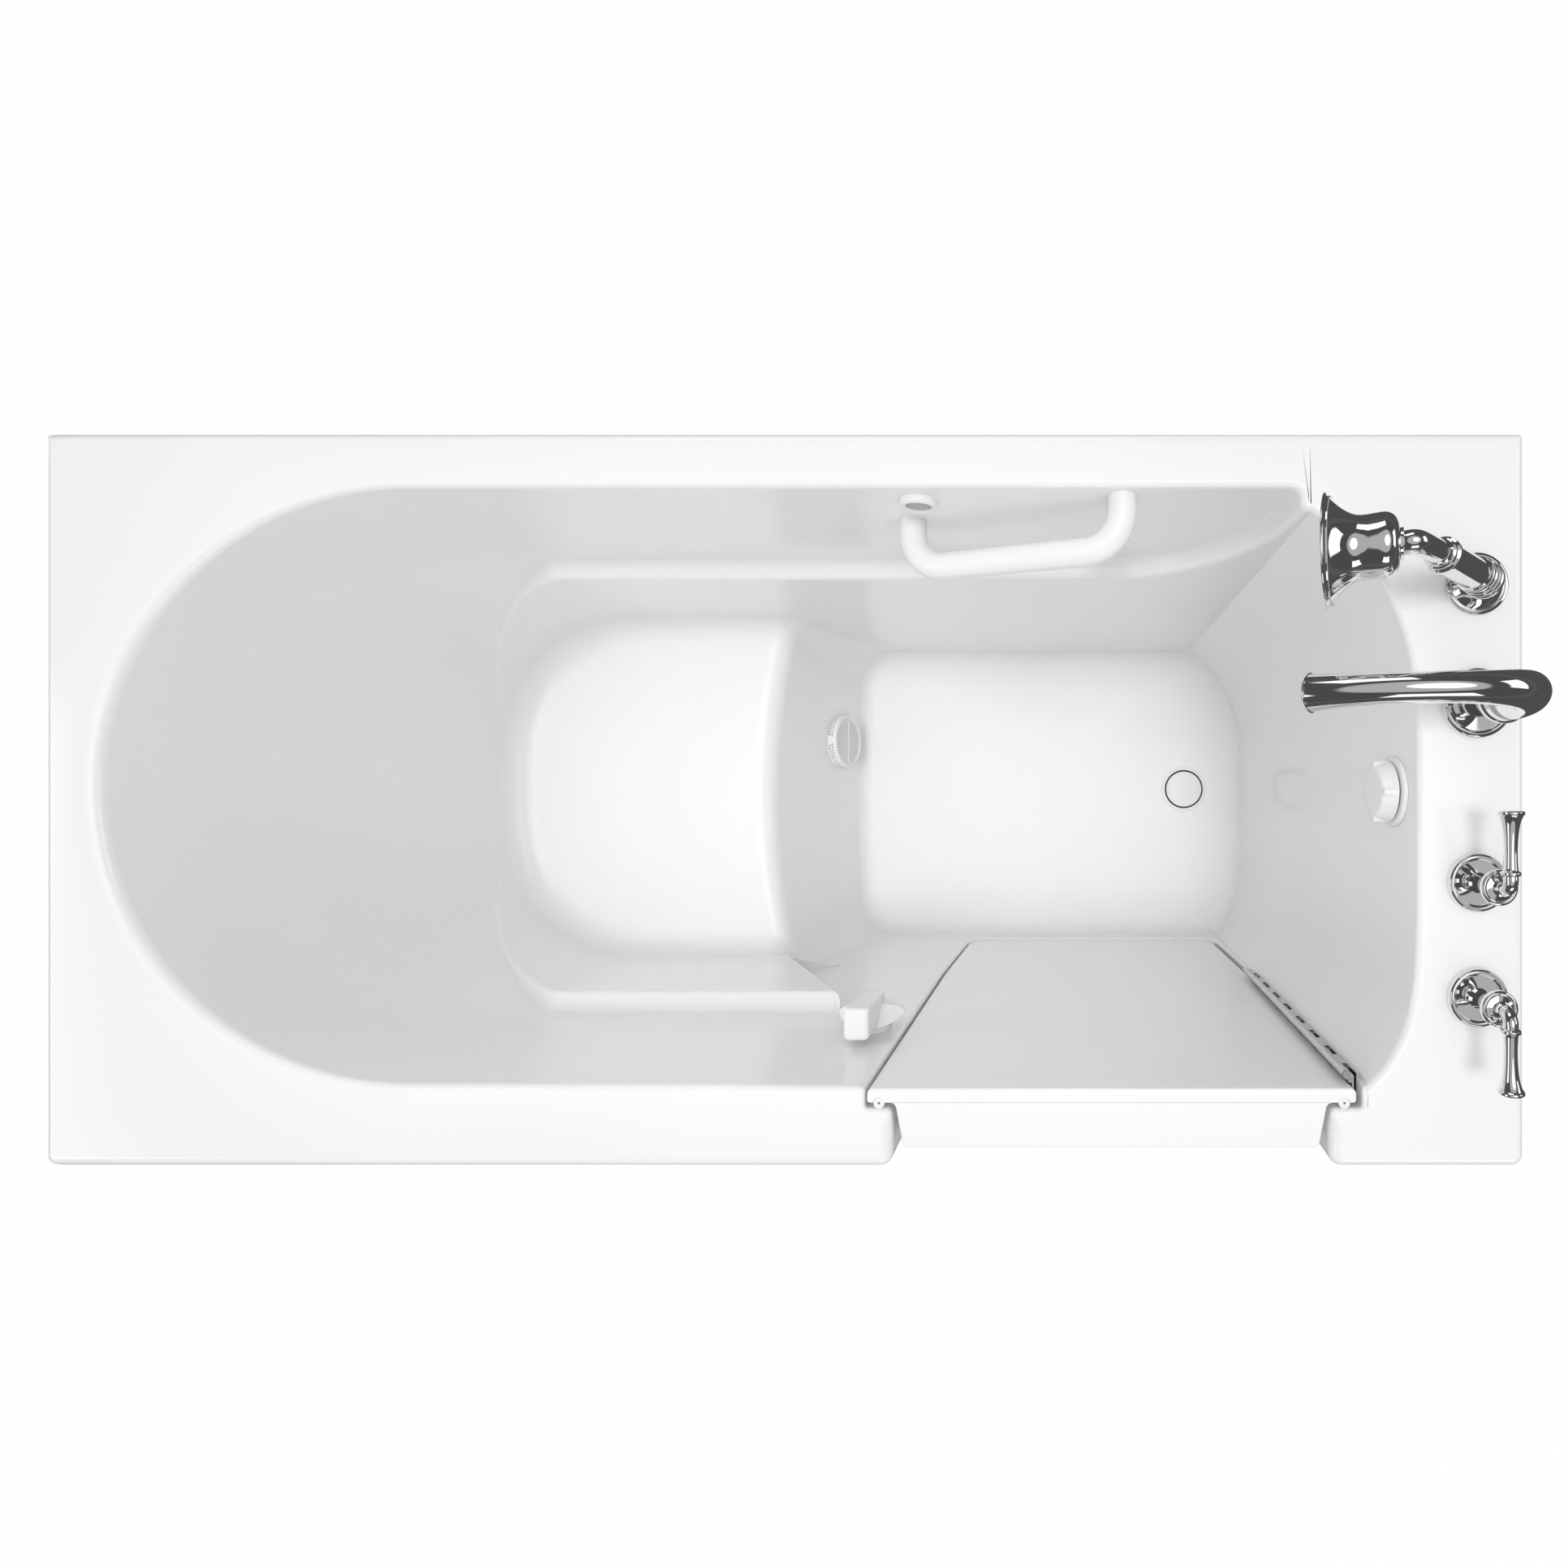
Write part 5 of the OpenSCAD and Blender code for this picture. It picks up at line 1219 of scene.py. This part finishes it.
# %% Air switch
switch_low, switch_high = box_mm("air_switch_body")
switch_x, switch_z = (switch_low.x + switch_high.x) / 2, (switch_low.z + switch_high.z) / 2
switch_r = (switch_high.x - switch_low.x) / 2
switch_at = (switch_x, well_back, switch_z)
bezel = [(15, -18), (15, 0)] + rounded([
    (switch_r, 0, 0), (switch_r, 8, 4), (13.4, 8, 3.5), (13.4, -12, 0)], 7)
bezel += [(12, -18), (15, -18)]
new_piece("switch_bezel", aimed(turned(bezel, 56), switch_at, (0, -1, 0)), moulded_white,
          replaces=["air_switch_body"])
push = [(0, -8), (12.5, -8)] + rounded([
    (12.5, -7, 0), (12.5, 5, 2), (9, 5.6, 4), (0, 6.4, 0)], 5)
new_piece("switch_push", aimed(turned(push, 48), switch_at, (0, -1, 0)), moulded_grey,
          "air_button", ["air_switch_button"])
print("switch bezel", 2 * switch_r, "mm across")

# %% [markdown]
# The overflow has a round plate on the end wall and a knob in front of it that lifts
# the drain's stopper through a cable. The knob is a turned disc with four grip ridges;
# between them its rim is scalloped, which is a small radial move of the turned rings.

# %% Overflow plate and knob
plate_low, plate_high = box_mm("overflow_plate")
overflow_at = (well_right, (plate_low.y + plate_high.y) / 2, (plate_low.z + plate_high.z) / 2)
plate_r = (plate_high.y - plate_low.y) / 2
plate = [(6, -14), (21, -14), (21, 0.3)] + rounded([
    (plate_r, 0.3, 0), (plate_r, 4.4, 3), (plate_r - 8, 5.2, 3), (30, 5.2, 2), (29, 2.4, 1),
    (6, 2.4, 0)], 5) + [(6, -14)]
new_piece("overflow_cover", aimed(turned(plate), overflow_at, (-1, 0, 0)), moulded_white,
          replaces=["overflow_plate"])
knob_r, knob_back, knob_front = 34, 7, 23
knob_line = [(0, knob_back)] + rounded([
    (knob_r - 3, knob_back, 0), (knob_r, knob_back, 1.2), (knob_r, knob_back + 8, 0),
    (knob_r - 0.5, knob_front, 2.2), (knob_r - 12, knob_front + 0.4, 4), (0, knob_front + 0.8, 0)], 5)
knob = turned(knob_line, 144)
for vertex in knob.verts:
    reach = math.hypot(vertex.co.x, vertex.co.y)
    turn = math.atan2(vertex.co.y, vertex.co.x)
    ridge = clamp((abs(math.cos(2 * turn)) - 0.955) / 0.04)
    height = clamp((vertex.co.z - knob_back) / (knob_front - knob_back))
    scallop = 0.03 + 0.06 * math.sin(2 * turn) ** 2 + 0.13 * height
    share = clamp((reach - 14) / 14) * clamp(height * 8)
    pull = 1 - (1 - ridge * ridge * (3 - 2 * ridge)) * scallop * share
    vertex.co.x, vertex.co.y = vertex.co.x * pull, vertex.co.y * pull
stem = turned([(0, -28), (5, -28), (5, knob_back + 1), (0, knob_back + 1)], 24)
new_piece("overflow_knob_grip", aimed(joined(knob, stem), overflow_at, (-1, 0, 0)),
          moulded_white, "waste_knob", ["overflow_knob"], sharp=40)
print("knob", 2 * knob_r, "mm across")

# %% Drain flange, stopper, and a black gasket that also paints shade into the gap
drain_at = (drain_x, drain_y, floor_z)
ring_r, cup_r, stop_r = (drain_high.x - drain_low.x) / 2, 40.6, 37.4
flange_line = [(25, -20), (29, -20), (29, -9.5), (cup_r + 1, -9.5),
               (cup_r + 1, 0.2)] + rounded([
                   (ring_r, 0.2, 0), (ring_r, 2.6, 1.2), (ring_r - 3, 3.2, 1.5), (cup_r, 3.6, 0.8),
                   (cup_r, -8, 2), (25, -8.5, 0)], 5) + [(25, -20)]
new_piece("drain_ring", aimed(turned(flange_line), drain_at, (0, 0, 1)), moulded_white,
          replaces=["drain_flange"])
stop_line = [(0, -19), (4, -19), (4, -6), (stop_r - 6, -5)] + rounded([
    (stop_r, -4, 0), (stop_r, 4.6, 1.6), (stop_r - 9, 6.2, 12), (0, 8.2, 0)], 6)
new_piece("stopper_cap", aimed(turned(stop_line), drain_at, (0, 0, 1)), moulded_white,
          "stopper", ["drain_stopper"])
# The black gasket is partly the stopper's rubber seal and partly painted shade. It fills the gap round
# the stopper so that the gap looks as dark as shade would make it.
gasket_and_gap_shade_line = rounded([(30, -5.5, 0.8), (cup_r - 0.4, -5.5, 0.8), (cup_r - 0.4, -1.4, 1.2),
                       (30, -1.4, 0.8)], 3, closed=True)
new_piece("stopper_gasket_gap_shade", aimed(turned(gasket_and_gap_shade_line + gasket_and_gap_shade_line[:1]), drain_at, (0, 0, 1)),
          moulded_black, "stopper")
print("drain ring", 2 * ring_r, "mm across")

# %% [markdown]
# The suction cover keeps hair and cloth out of the pump. It is a shallow cap on the
# riser with two staggered rows of round holes in its rim, none of them at the very top,
# and fine slats on its face. The holes are real: one boolean with two rings of small
# cylinders cuts them.

# %% Suction cover
hole_r, rim_rows, holes_a_row = 1.7, (5.2, 10.4), 60
cover_low, cover_high = box_mm("suction_cover")
cap_r = (cover_high.y - cover_low.y) / 2
cap_lean = math.atan(riser_tan)
cap_way = Vector((math.cos(cap_lean), 0, math.sin(cap_lean)))
cap_at = Vector((cover_low.x + cap_r * math.sin(cap_lean), (cover_low.y + cover_high.y) / 2,
                 (cover_low.z + cover_high.z) / 2 - 9 * math.sin(cap_lean)))
cap_line = [(cap_r - 3.5, 0.5)] + rounded([
    (cap_r, 0.5, 0), (cap_r, 18, 5), (cap_r - 8, 18, 1.5), (cap_r - 9, 16, 1), (0, 16.4, 0)], 5) + [
    (0, 13.5), (cap_r - 4, 13.5), (cap_r - 3.5, 0.5)]
cap = new_piece("suction_cap", aimed(turned(cap_line, 96), cap_at, cap_way), moulded_white,
                replaces=["suction_cover"])
pins = []
for row, height in enumerate(rim_rows):
    for k in range(holes_a_row):
        turn = 2 * math.pi * (k + row / 2) / holes_a_row
        if math.cos(turn) > 0.992:
            continue
        pin = turned([(0, -4), (hole_r, -4), (hole_r, 4), (0, 4)], 10)
        bmesh.ops.rotate(pin, verts=pin.verts, matrix=Matrix.Rotation(math.pi / 2, 3, "X"))
        bmesh.ops.translate(pin, vec=(0, cap_r, height), verts=pin.verts)
        bmesh.ops.rotate(pin, verts=pin.verts, matrix=Matrix.Rotation(turn, 3, "Z"))
        pins.append(pin)
carve(cap, aimed(joined(*pins), cap_at, cap_way))
even_shading(cap)
print("suction cap", 2 * cap_r, "mm across,", len(pins), "holes")


# %% Slats of the suction cover
def rib(size, place, edge, segments):
    """A straight rib with bevelled edges."""
    bm = bmesh.new()
    bmesh.ops.create_cube(bm, size=1)
    bmesh.ops.scale(bm, vec=size, verts=bm.verts)
    bmesh.ops.bevel(bm, geom=bm.edges, offset=edge, segments=segments, profile=0.5,
                    affect="EDGES", material=-1)
    bmesh.ops.translate(bm, vec=place, verts=bm.verts)
    return bm


face_r, slat_step = cap_r - 11, 3
ribs = [rib((2 * face_r, 2.4, 2), (0, 0, 17.2), 0.5, 2)]
for k in range(-14, 15):
    x = slat_step * k
    ribs.append(rib((1.2, 2 * math.sqrt(face_r ** 2 - x ** 2), 1.6), (x, 0, 16.9), 0.35, 1))
new_piece("suction_grille", aimed(joined(*ribs), cap_at, cap_way), moulded_white)
print("slats", len(ribs) - 1)

# %% [markdown]
# The taps are chrome-plated brass castings, polished until every bead and valley
# shows. They stand in a line on the deck behind the end wall. Turned columns carry
# them; the spout is one swept casting whose radius changes along its route.

# %% Spout flange
flange_box_low, flange_box_high = box_mm("spout_flange")
tap_x = (flange_box_low.x + flange_box_high.x) / 2
spout_y = (flange_box_low.y + flange_box_high.y) / 2
spout_flange_r = (flange_box_high.x - flange_box_low.x) / 2
rise = 62
flange_line = [(14, 0), (spout_flange_r, 0)] + rounded([
    (spout_flange_r, 1, 0), (spout_flange_r, 5.5, 3), (31, 8, 2), (29.5, 5, 1.5), (15, 6, 5)], 6)
flange_line += flowing([(14.6, 12), (13.8, 20), (13.4, 28), (14.4, 39), (19, 46), (23, 48.5)], 5)
flange_line += rounded([(24.8, 49.5, 1), (25, 53.5, 2), (23, 56, 1.5), (22.4, rise - 0.2, 0)], 5)
flange_line += [(0, rise - 0.2)]
new_piece("spout_column", aimed(turned(flange_line, 96), (tap_x, spout_y, deck_z), (0, 0, 1)),
          chrome, replaces=["spout_flange"], sharp=50)
print("spout flange", 2 * spout_flange_r, "mm across")

# %% Spout
foot = Vector((tap_x + 3, spout_y, deck_z + rise))
reach = 201
bend = [foot + Vector((0, 0, 3)), foot + Vector((3, 0, 84)),
        Vector((foot.x - reach * 0.61, spout_y, deck_z + 153)),
        Vector((foot.x - reach, spout_y, deck_z + 87))]


def spout_point(t):
    a, b, c, d = bend
    return a * (1 - t) ** 3 + b * 3 * t * (1 - t) ** 2 + c * 3 * t ** 2 * (1 - t) + d * t ** 3


def spout_radius(t):
    if t < 0.67:
        return 13.7 + 8.3 * (1 - t / 0.67) ** 1.6
    return 13.7 + 4.1 * ((t - 0.67) / 0.33) ** 2.4


steps = 72
spout_route = [foot] + [spout_point(k / steps) for k in range(steps + 1)]
spout_radii = [spout_radius(0)] + [spout_radius(k / steps) for k in range(steps + 1)]
tip, ways = spout_route[-1], headings(spout_route)
# the lip, as steps along the tip's direction: outward first, then back into the mouth
for step, radius in ((-2.6, 18.3), (-1.6, 18.5), (-0.6, 18.2), (0, 17.2), (0, 16),
                     (-1.5, 14.6), (-5, 13.4), (-18, 13), (-24, 10)):
    spout_route.append(tip + ways[-1] * step)
    spout_radii.append(radius)
    ways.append(ways[-1])
new_piece("spout_casting", swept(spout_route, spout_radii, 56, ways=ways, across=Vector((0, 1, 0))),
          chrome, replaces=["spout"], sharp=60)
print("spout reach", reach)

# %% [markdown]
# Each valve has a flange with a bead round a flat dished ring, a slim trumpet column,
# and a lever on a round hub. The lever's neck bends over in an elbow, passes a thin
# collar, and its shaft flares out to a lipped tip.

# %% Lever handles
lever_z, lever_l = 63, 75


def escutcheon(name, node):
    """The turned flange and column under a lever; gives the place it stands on."""
    low, high = box_mm(node)
    r = (high.x - low.x) / 2
    line = [(8, 0), (r, 0)] + rounded([
        (r, 0.8, 0), (r, 8, 3.2), (r - 5.5, 8, 2), (r - 6.6, 5.5, 1), (10.5, 6, 3)], 6)
    line += flowing([(9.4, 10), (8.4, 16), (8, 22), (8.6, 28), (10.4, 33), (12.8, 36.6)], 5)
    line += [(12, 36.9), (0, 36.9)]
    place = ((low.x + high.x) / 2, (low.y + high.y) / 2, deck_z)
    new_piece(name, aimed(turned(line, 80), place, (0, 0, 1)), chrome,
              replaces=[node], sharp=50)
    return Vector(place)


def lever(name, node, place, way, body):
    """Hub, neck, shaft and stem of one tap lever; way is 1 or -1 along Y."""
    hub = [(0, 37.5), (12.6, 37.5)] + rounded([
        (15.5, 39, 2), (17.75, 41, 1.6), (17.75, 45.4, 1.8), (15.2, 46.6, 1.4), (13.5, 45.8, 1.2),
        (8.4, 47.4, 3)], 5) + flowing([(7.6, 50), (7, 54), (6.9, 56), (0, 56)], 3)
    shaft = flowing([(6.9, 10), (6.7, 13.2)], 2) + rounded([
        (7.4, 13.8, 0.3), (9, 14.4, 0.8), (9, 17.2, 0.8), (7.4, 17.8, 0.3)], 4)
    shaft += flowing([(6.6, 19), (6.1, 26), (5.9, 36), (6.2, 46), (7, 56), (8.4, 64), (10.4, 69.6),
                      (11.8, 71.6)], 4)
    shaft += rounded([(12.1, 72.2, 0.3), (12.1, 74, 0.9), (10.8, lever_l, 0.8)], 4)
    shaft += flowing([(9.6, lever_l - 0.4), (6, lever_l - 1.2), (0, lever_l - 1.4)], 4)
    shaft = [(0, 10)] + shaft
    neck = rounded([(0, 0, 44, 0), (0, 0, lever_z, 9.5), (0, way * 13, lever_z, 0)], 12)
    thick = [mix(7, 6.7, k / (len(neck) - 1)) for k in range(len(neck))]
    stem_l = deck_z - box_mm(node)[0].z
    shape = joined(
        turned(hub, 80), swept(neck, thick, 40),
        aimed(turned(shaft, 56), (0, 0, lever_z), (0, way, 0)),
        turned([(0, -stem_l), (4, -stem_l), (4, 38), (0, 38)], 24))
    bmesh.ops.translate(shape, vec=place, verts=shape.verts)
    new_piece(name, shape, chrome, body, [node], sharp=50)


cold_at = escutcheon("cold_flange", "cold_escutcheon")
hot_at = escutcheon("hot_flange", "hot_escutcheon")
lever("cold_lever_handle", "cold_handle", cold_at, 1, "cold_lever")
lever("hot_lever_handle", "hot_handle", hot_at, -1, "hot_lever")
print("levers at", round(cold_at.y, 1), "and", round(hot_at.y, 1))

# %% [markdown]
# The hand shower rests in a leaning cradle: a low flange, a stack of thin collars, a
# plain grip, a ferrule, an elbow, and a bell with a wide mouth. The whole handset
# lifts out along its grip.

# %% Hand shower cradle
shower_low, shower_high = box_mm("shower_base")
shower_y = (shower_low.y + shower_high.y) / 2
shower_r = (shower_high.y - shower_low.y) / 2
shower_lean = math.radians(44)
lean_way = Vector((-math.sin(shower_lean), 0, math.cos(shower_lean)))
cradle = Vector((tap_x, shower_y, deck_z + 16))
dome = [(0, 0), (shower_r, 0)] + rounded([
    (shower_r, 0.8, 0), (shower_r, 3.6, 1.6), (shower_r - 3.6, 4.8, 1.2), (shower_r - 5, 3.8, 1)], 5)
dome += flowing([(24.5, 6.2), (20.5, 9.6), (16, 12.4), (9, 14.6), (0, 15.4)], 5)
collars = [(0, -2), (15, -2)] + rounded([
    (17, 1.5, 1), (19.2, 3, 1.4), (19.2, 8, 1.4), (16.6, 9.2, 0.8), (16.6, 10.6, 0.5),
    (18.4, 11.6, 0.9), (18.4, 15.2, 0.9), (15.8, 16.2, 0.6), (15.8, 17.4, 0.5),
    (17.4, 18.4, 0.8), (17.4, 21.6, 0.8), (15.2, 22.6, 0.6), (14.8, 27, 0), (17.6, 28, 0.8),
    (17.6, 32.2, 0.8), (16, 33, 0)], 4) + [(0, 33)]
new_piece("shower_cradle", joined(
    aimed(turned(dome, 80), (tap_x, shower_y, deck_z), (0, 0, 1)),
    aimed(turned(collars, 64), cradle - lean_way * 4, lean_way)), chrome,
    replaces=["shower_base"], sharp=50)
print("cradle leans", round(math.degrees(shower_lean)), "degrees")

# %% Hand shower
grip_l, mouth_r, head_lean = 92, 50.5, math.radians(23.7)
elbow_at = cradle + lean_way * (34 + grip_l + 14)
head_way = Vector((-math.cos(head_lean), 0, -math.sin(head_lean)))
head_at = elbow_at + Vector((-34, 0, 18.4))
grip = [(0, 0), (13, 0)] + rounded([
    (16.8, 0.6, 1), (17, 4, 1.2), (15, 6, 1), (15, grip_l - 7, 2), (16.2, grip_l - 5.4, 0.8),
    (16.2, grip_l - 1.6, 0.8), (13.4, grip_l, 1), (13.2, grip_l + 1.4, 0.5), (14, grip_l + 2, 0.4),
    (14, grip_l + 4.6, 0.6), (12, grip_l + 5.6, 0.6), (12.4, grip_l + 8, 0.6),
    (11, grip_l + 10, 0.8)], 5) + [(0, grip_l + 10)]
bell = [(0, 0), (12.6, 0)] + rounded([
    (13.6, 0.4, 0.4), (13.8, 3, 0.6), (28.4, 4, 13.6), (28.4, 20, 0)], 8)
bell += flowing([(28.2, 25), (28, 31), (28.6, 37), (30.8, 42.5), (35.4, 49), (41.5, 55.2),
                 (46.6, 59.4), (49.6, 61.6)], 6)
bell += rounded([(mouth_r, 62.4, 0.5), (mouth_r, 64, 0.7), (mouth_r - 2.4, 64, 0.7),
                 (mouth_r - 3.2, 59, 0)], 4) + [(0, 58.5)]
neck = flowing([cradle + lean_way * (grip_l + 30), cradle + lean_way * (grip_l + 40),
                cradle + lean_way * (grip_l + 54), head_at - head_way * 9, head_at + head_way * 4], 8)
spigot = turned([(0, 0), (9.6, 0), (10.6, 1), (10.6, 26), (0, 26)], 32)
new_piece("hand_shower", joined(
    aimed(spigot, cradle + lean_way * 9, lean_way),
    aimed(turned(grip, 64), cradle + lean_way * 29.4, lean_way),
    swept(neck, [10.4] * len(neck), 48),
    aimed(turned(bell, 96), head_at, head_way)), chrome, "handset",
    ["shower_handset"], sharp=50)
print("shower mouth", 2 * mouth_r, "mm across")

# %% Spray face
face_r = mouth_r - 3.6
face_line = [(0, 0), (face_r, 0)] + rounded([
    (face_r, 1.6, 0.8), (face_r - 3, 2.6, 1), (face_r - 4.5, 2, 1), (0, 4.4, 0)], 4)
nozzles = []
for ring, count in ((0.2, 6), (0.4, 12), (0.6, 18), (0.8, 24)):
    for k in range(count):
        tip = turned([(1.7, 0), (1.7, 2.4), (1.2, 3.2), (0.6, 3.3), (0.5, 2.2), (0, 2.2)], 10)
        turn = 2 * math.pi * k / count
        bmesh.ops.translate(tip, vec=(ring * face_r * math.cos(turn), ring * face_r * math.sin(turn),
                                      3.2 - 2.2 * ring), verts=tip.verts)
        nozzles.append(tip)
new_piece("spray_plate", aimed(joined(turned(face_line, 72), *nozzles), head_at + head_way * 58.6,
                               head_way), moulded_grey, "handset",
          ["shower_spray_face"])
print("nozzles:", len(nozzles))

# %% [markdown]
# The rest of the tub is right as it comes from the drawing: aprons, frame, feet,
# plumbing and pump. These nodes keep their shape and only get a finish. Panels get
# slightly rounded edges from a Bevel modifier. The nodes come in as loose triangles,
# so a Weld modifier joins their corners first, or there would be no edges to bevel.

# %% More finishes
apron_white = satin("apron_white", (0.86, 0.86, 0.86), 0.22, peel_mm=5, Coat_Weight=0.2)
rubber = satin("rubber", (0.035, 0.035, 0.035), 0.7, peel_mm=0.8, depth_mm=0.06, drift=0.75)
tubing = satin("tubing", (0.72, 0.76, 0.78), 0.12, peel_mm=6)
motor_black = satin("motor_black", (0.025, 0.025, 0.028), 0.5, peel_mm=1.0, depth_mm=0.05,
                    drift=0.7)
print("finishes:", len(bpy.data.materials))

# %% Finish of each node that stays
kept = {
    apron_white: ["front_apron", "access_panel", "end_apron_left", "end_apron_right"],
    frame_steel: ["support_frame", "door_stiffener"],
    zinc_steel: ["foot_studs", "foot_nuts", "latch_nut", "grab_bar_fixings", "pump_base"],
    stainless: ["hinge_door_leaf", "hinge_jamb_leaf", "hinge_pin"],
    moulded_white: ["access_screws", "latch_bushing", "air_switch_nut", "suction_body"],
    moulded_grey: ["pump_rotor"],
    rubber: ["foot_pads", "drain_cable"],
    moulded_black: ["overflow_elbow", "drain_shoe", "pump_volute"],
    motor_black: ["pump_motor"],
    pipe_white: ["overflow_pipe", "suction_pipe", "discharge_pipe"],
    tubing: ["air_tube"],
    chrome: ["drain_tailpiece"],
    brass: ["spout_shank", "cold_valve", "hot_valve", "shower_shank"],
    copper: ["supply_manifold"],
}
softened = {"front_apron": 1.5, "access_panel": 1, "end_apron_left": 1.5, "end_apron_right": 1.5,
            "support_frame": 2, "door_stiffener": 2, "pump_base": 1, "access_screws": 0.4,
            "latch_bushing": 0.8, "foot_pads": 1, "pump_motor": 1, "pump_volute": 1}
for finish, names in kept.items():
    for name in names:
        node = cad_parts[name]
        node.data.materials.clear()
        node.data.materials.append(finish.material)
        if name in softened:
            weld = node.modifiers.new("weld", "WELD")
            weld.merge_threshold = 0.01 * MM
            edge = node.modifiers.new("edge", "BEVEL")
            edge.width, edge.segments = softened[name] * MM, 2
            edge.limit_method, edge.angle_limit = "ANGLE", math.radians(40)
            even_shading(node)
shown = {name for names in kept.values() for name in names}
left = [name for name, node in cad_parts.items()
        if name not in shown and not node.hide_render]
print("nodes kept:", len(shown), "nodes without a finish:", left)

# %% [markdown]
# The stage is plain: a pale floor, a pale dome of sky light and soft lamps. Mirror-like
# metal needs something to mirror, so rays that leave a glossy surface see a studio with
# dark cloth and white windows, the way a photographer stands cards beside chrome. The
# camera itself sees plain white, and mirrors don't see the floor, so the metal stays dark.

# %% Floor
ground_half = 40000 * MM
ground_mesh = bmesh.new()
bmesh.ops.create_grid(ground_mesh, x_segments=1, y_segments=1, size=ground_half)
ground_data = bpy.data.meshes.new("ground")
ground_mesh.to_mesh(ground_data)
ground_mesh.free()
ground = bpy.data.objects.new("ground", ground_data)
ground.visible_glossy = False
scene.collection.objects.link(ground)

# the camera sees mostly the glow, and the rest of the paper holds the tub's shadow
paper_glow = 0.92
paper = Finish("paper", (0.9, 0.9, 0.9), 0.9)
seen = paper.node("ShaderNodeLightPath", output=0)
white = paper.tree.nodes.new("ShaderNodeEmission")
white.inputs["Strength"].default_value = 1.0
blend_node = paper.tree.nodes.new("ShaderNodeMixShader")
paper.tree.links.new((seen * paper_glow).socket, blend_node.inputs[0])
paper.tree.links.new(paper.shader.outputs[0], blend_node.inputs[1])
paper.tree.links.new(white.outputs[0], blend_node.inputs[2])
paper.tree.links.new(blend_node.outputs[0], paper.tree.nodes["Material Output"].inputs[0])
ground_data.materials.append(paper.material)
print("floor ready")

# %% Sky
# Diffuse rays see an even pale dome and the camera sees white. Glossy rays see a studio:
# a white card overhead inside a grey field, dark cloth with white windows round it, and
# almost plain dark cloth from there down.
scene.world = bpy.data.worlds.new("sky")
scene.world.use_nodes = True
sky = NodeTree(scene.world.node_tree)
background = sky.tree.nodes["Background"]
dome_light, card, field, cloth, window = 0.7, 1.5, 0.46, 0.075, 1.3
under_horizon, over_horizon = 0.08, 0.1
ray = sky.node("ShaderNodeTexCoord", output=0)
x, y, z = [sky.node("ShaderNodeSeparateXYZ", {}, {0: ray}, output=k) for k in range(3)]


def step(value, edge, soft=0.02):
    """0 below the edge and 1 above it, over a short soft stretch."""
    return sky.node("ShaderNodeMapRange", {"interpolation_type": "SMOOTHSTEP"}, {
        0: value, 1: edge - soft, 2: edge + soft, 3: 0.0, 4: 1.0})


def choose(mask, low, high):
    """low where the mask is 0 and high where it is 1."""
    return mask * (high - low) + low


around = sky.node("ShaderNodeMath", {"operation": "ARCTAN2"}, {0: y, 1: x})
lobes = sky.node("ShaderNodeMath", {"operation": "SINE"}, {0: around * 4 + 0.6})
windows = step(lobes, 0.25, 0.06) * step(z, 0.3) * (1 - step(z, 0.6))
low_band = choose(step(z, 0.05), under_horizon, over_horizon)
ring_wall = choose(windows, cloth, window)
studio = low_band * (1 - step(z, 0.2)) + ring_wall * step(z, 0.2)
overhead = step(z, 0.8, 0.03)
studio = studio * (1 - overhead) + overhead * field
spot = x * 0.17 + y * 0.05 + z * 0.98    # almost 1 toward the card's middle
on_card = step(spot, 0.95, 0.004)
studio = studio * (1 - on_card) + on_card * card
glossy = sky.node("ShaderNodeLightPath", output=3)
seen = sky.node("ShaderNodeLightPath", output=0)
level = choose(seen, dome_light, 1.0) * (1 - glossy) + studio * glossy
sky.tree.links.new(level.socket, background.inputs["Strength"])
background.inputs["Color"].default_value = (1, 1, 1, 1)
print("sky ready")

# %% Lamps
# A faint sun straight above and the dome light floor, seat and deck alike, and the walls
# take their tone from what those throw back. A soft box hangs over the well and two
# faint lamps stand at the right front and the left back. No lamp shows in the metal,
# which mirrors the studio.
top_sun = bpy.data.lights.new("top_sun", "SUN")
top_sun.energy, top_sun.angle = 0.9, math.radians(16)
top = bpy.data.objects.new("top_sun", top_sun)
scene.collection.objects.link(top)
top.visible_glossy = False


def lamp(name, place, aim, size, watts):
    """A soft round lamp that neither the camera nor the metal sees."""
    data = bpy.data.lights.new(name, "AREA")
    data.shape, data.size, data.energy = "DISK", size, watts
    light = bpy.data.objects.new(name, data)
    light.location = place
    light.rotation_euler = (Vector(aim) - Vector(place)).to_track_quat("-Z", "Y").to_euler()
    light.visible_glossy = light.visible_camera = False
    scene.collection.objects.link(light)
    return data


lamp("key", (2.4, -2.6, 2.6), (0, 0, 0.7), 2.4, 12)
lamp("fill", (-2.6, 2.0, 2.6), (0, 0, 0.7), 2.6, 6)
soft_box = lamp("soft_box", (0.04, 0, 1.4), (0.04, 0, 0.7), 1.15, 0.5)
soft_box.shape, soft_box.size_y, soft_box.spread = "RECTANGLE", 0.45, math.radians(60)
scene.view_settings.view_transform = "Standard"
print("lights ready")
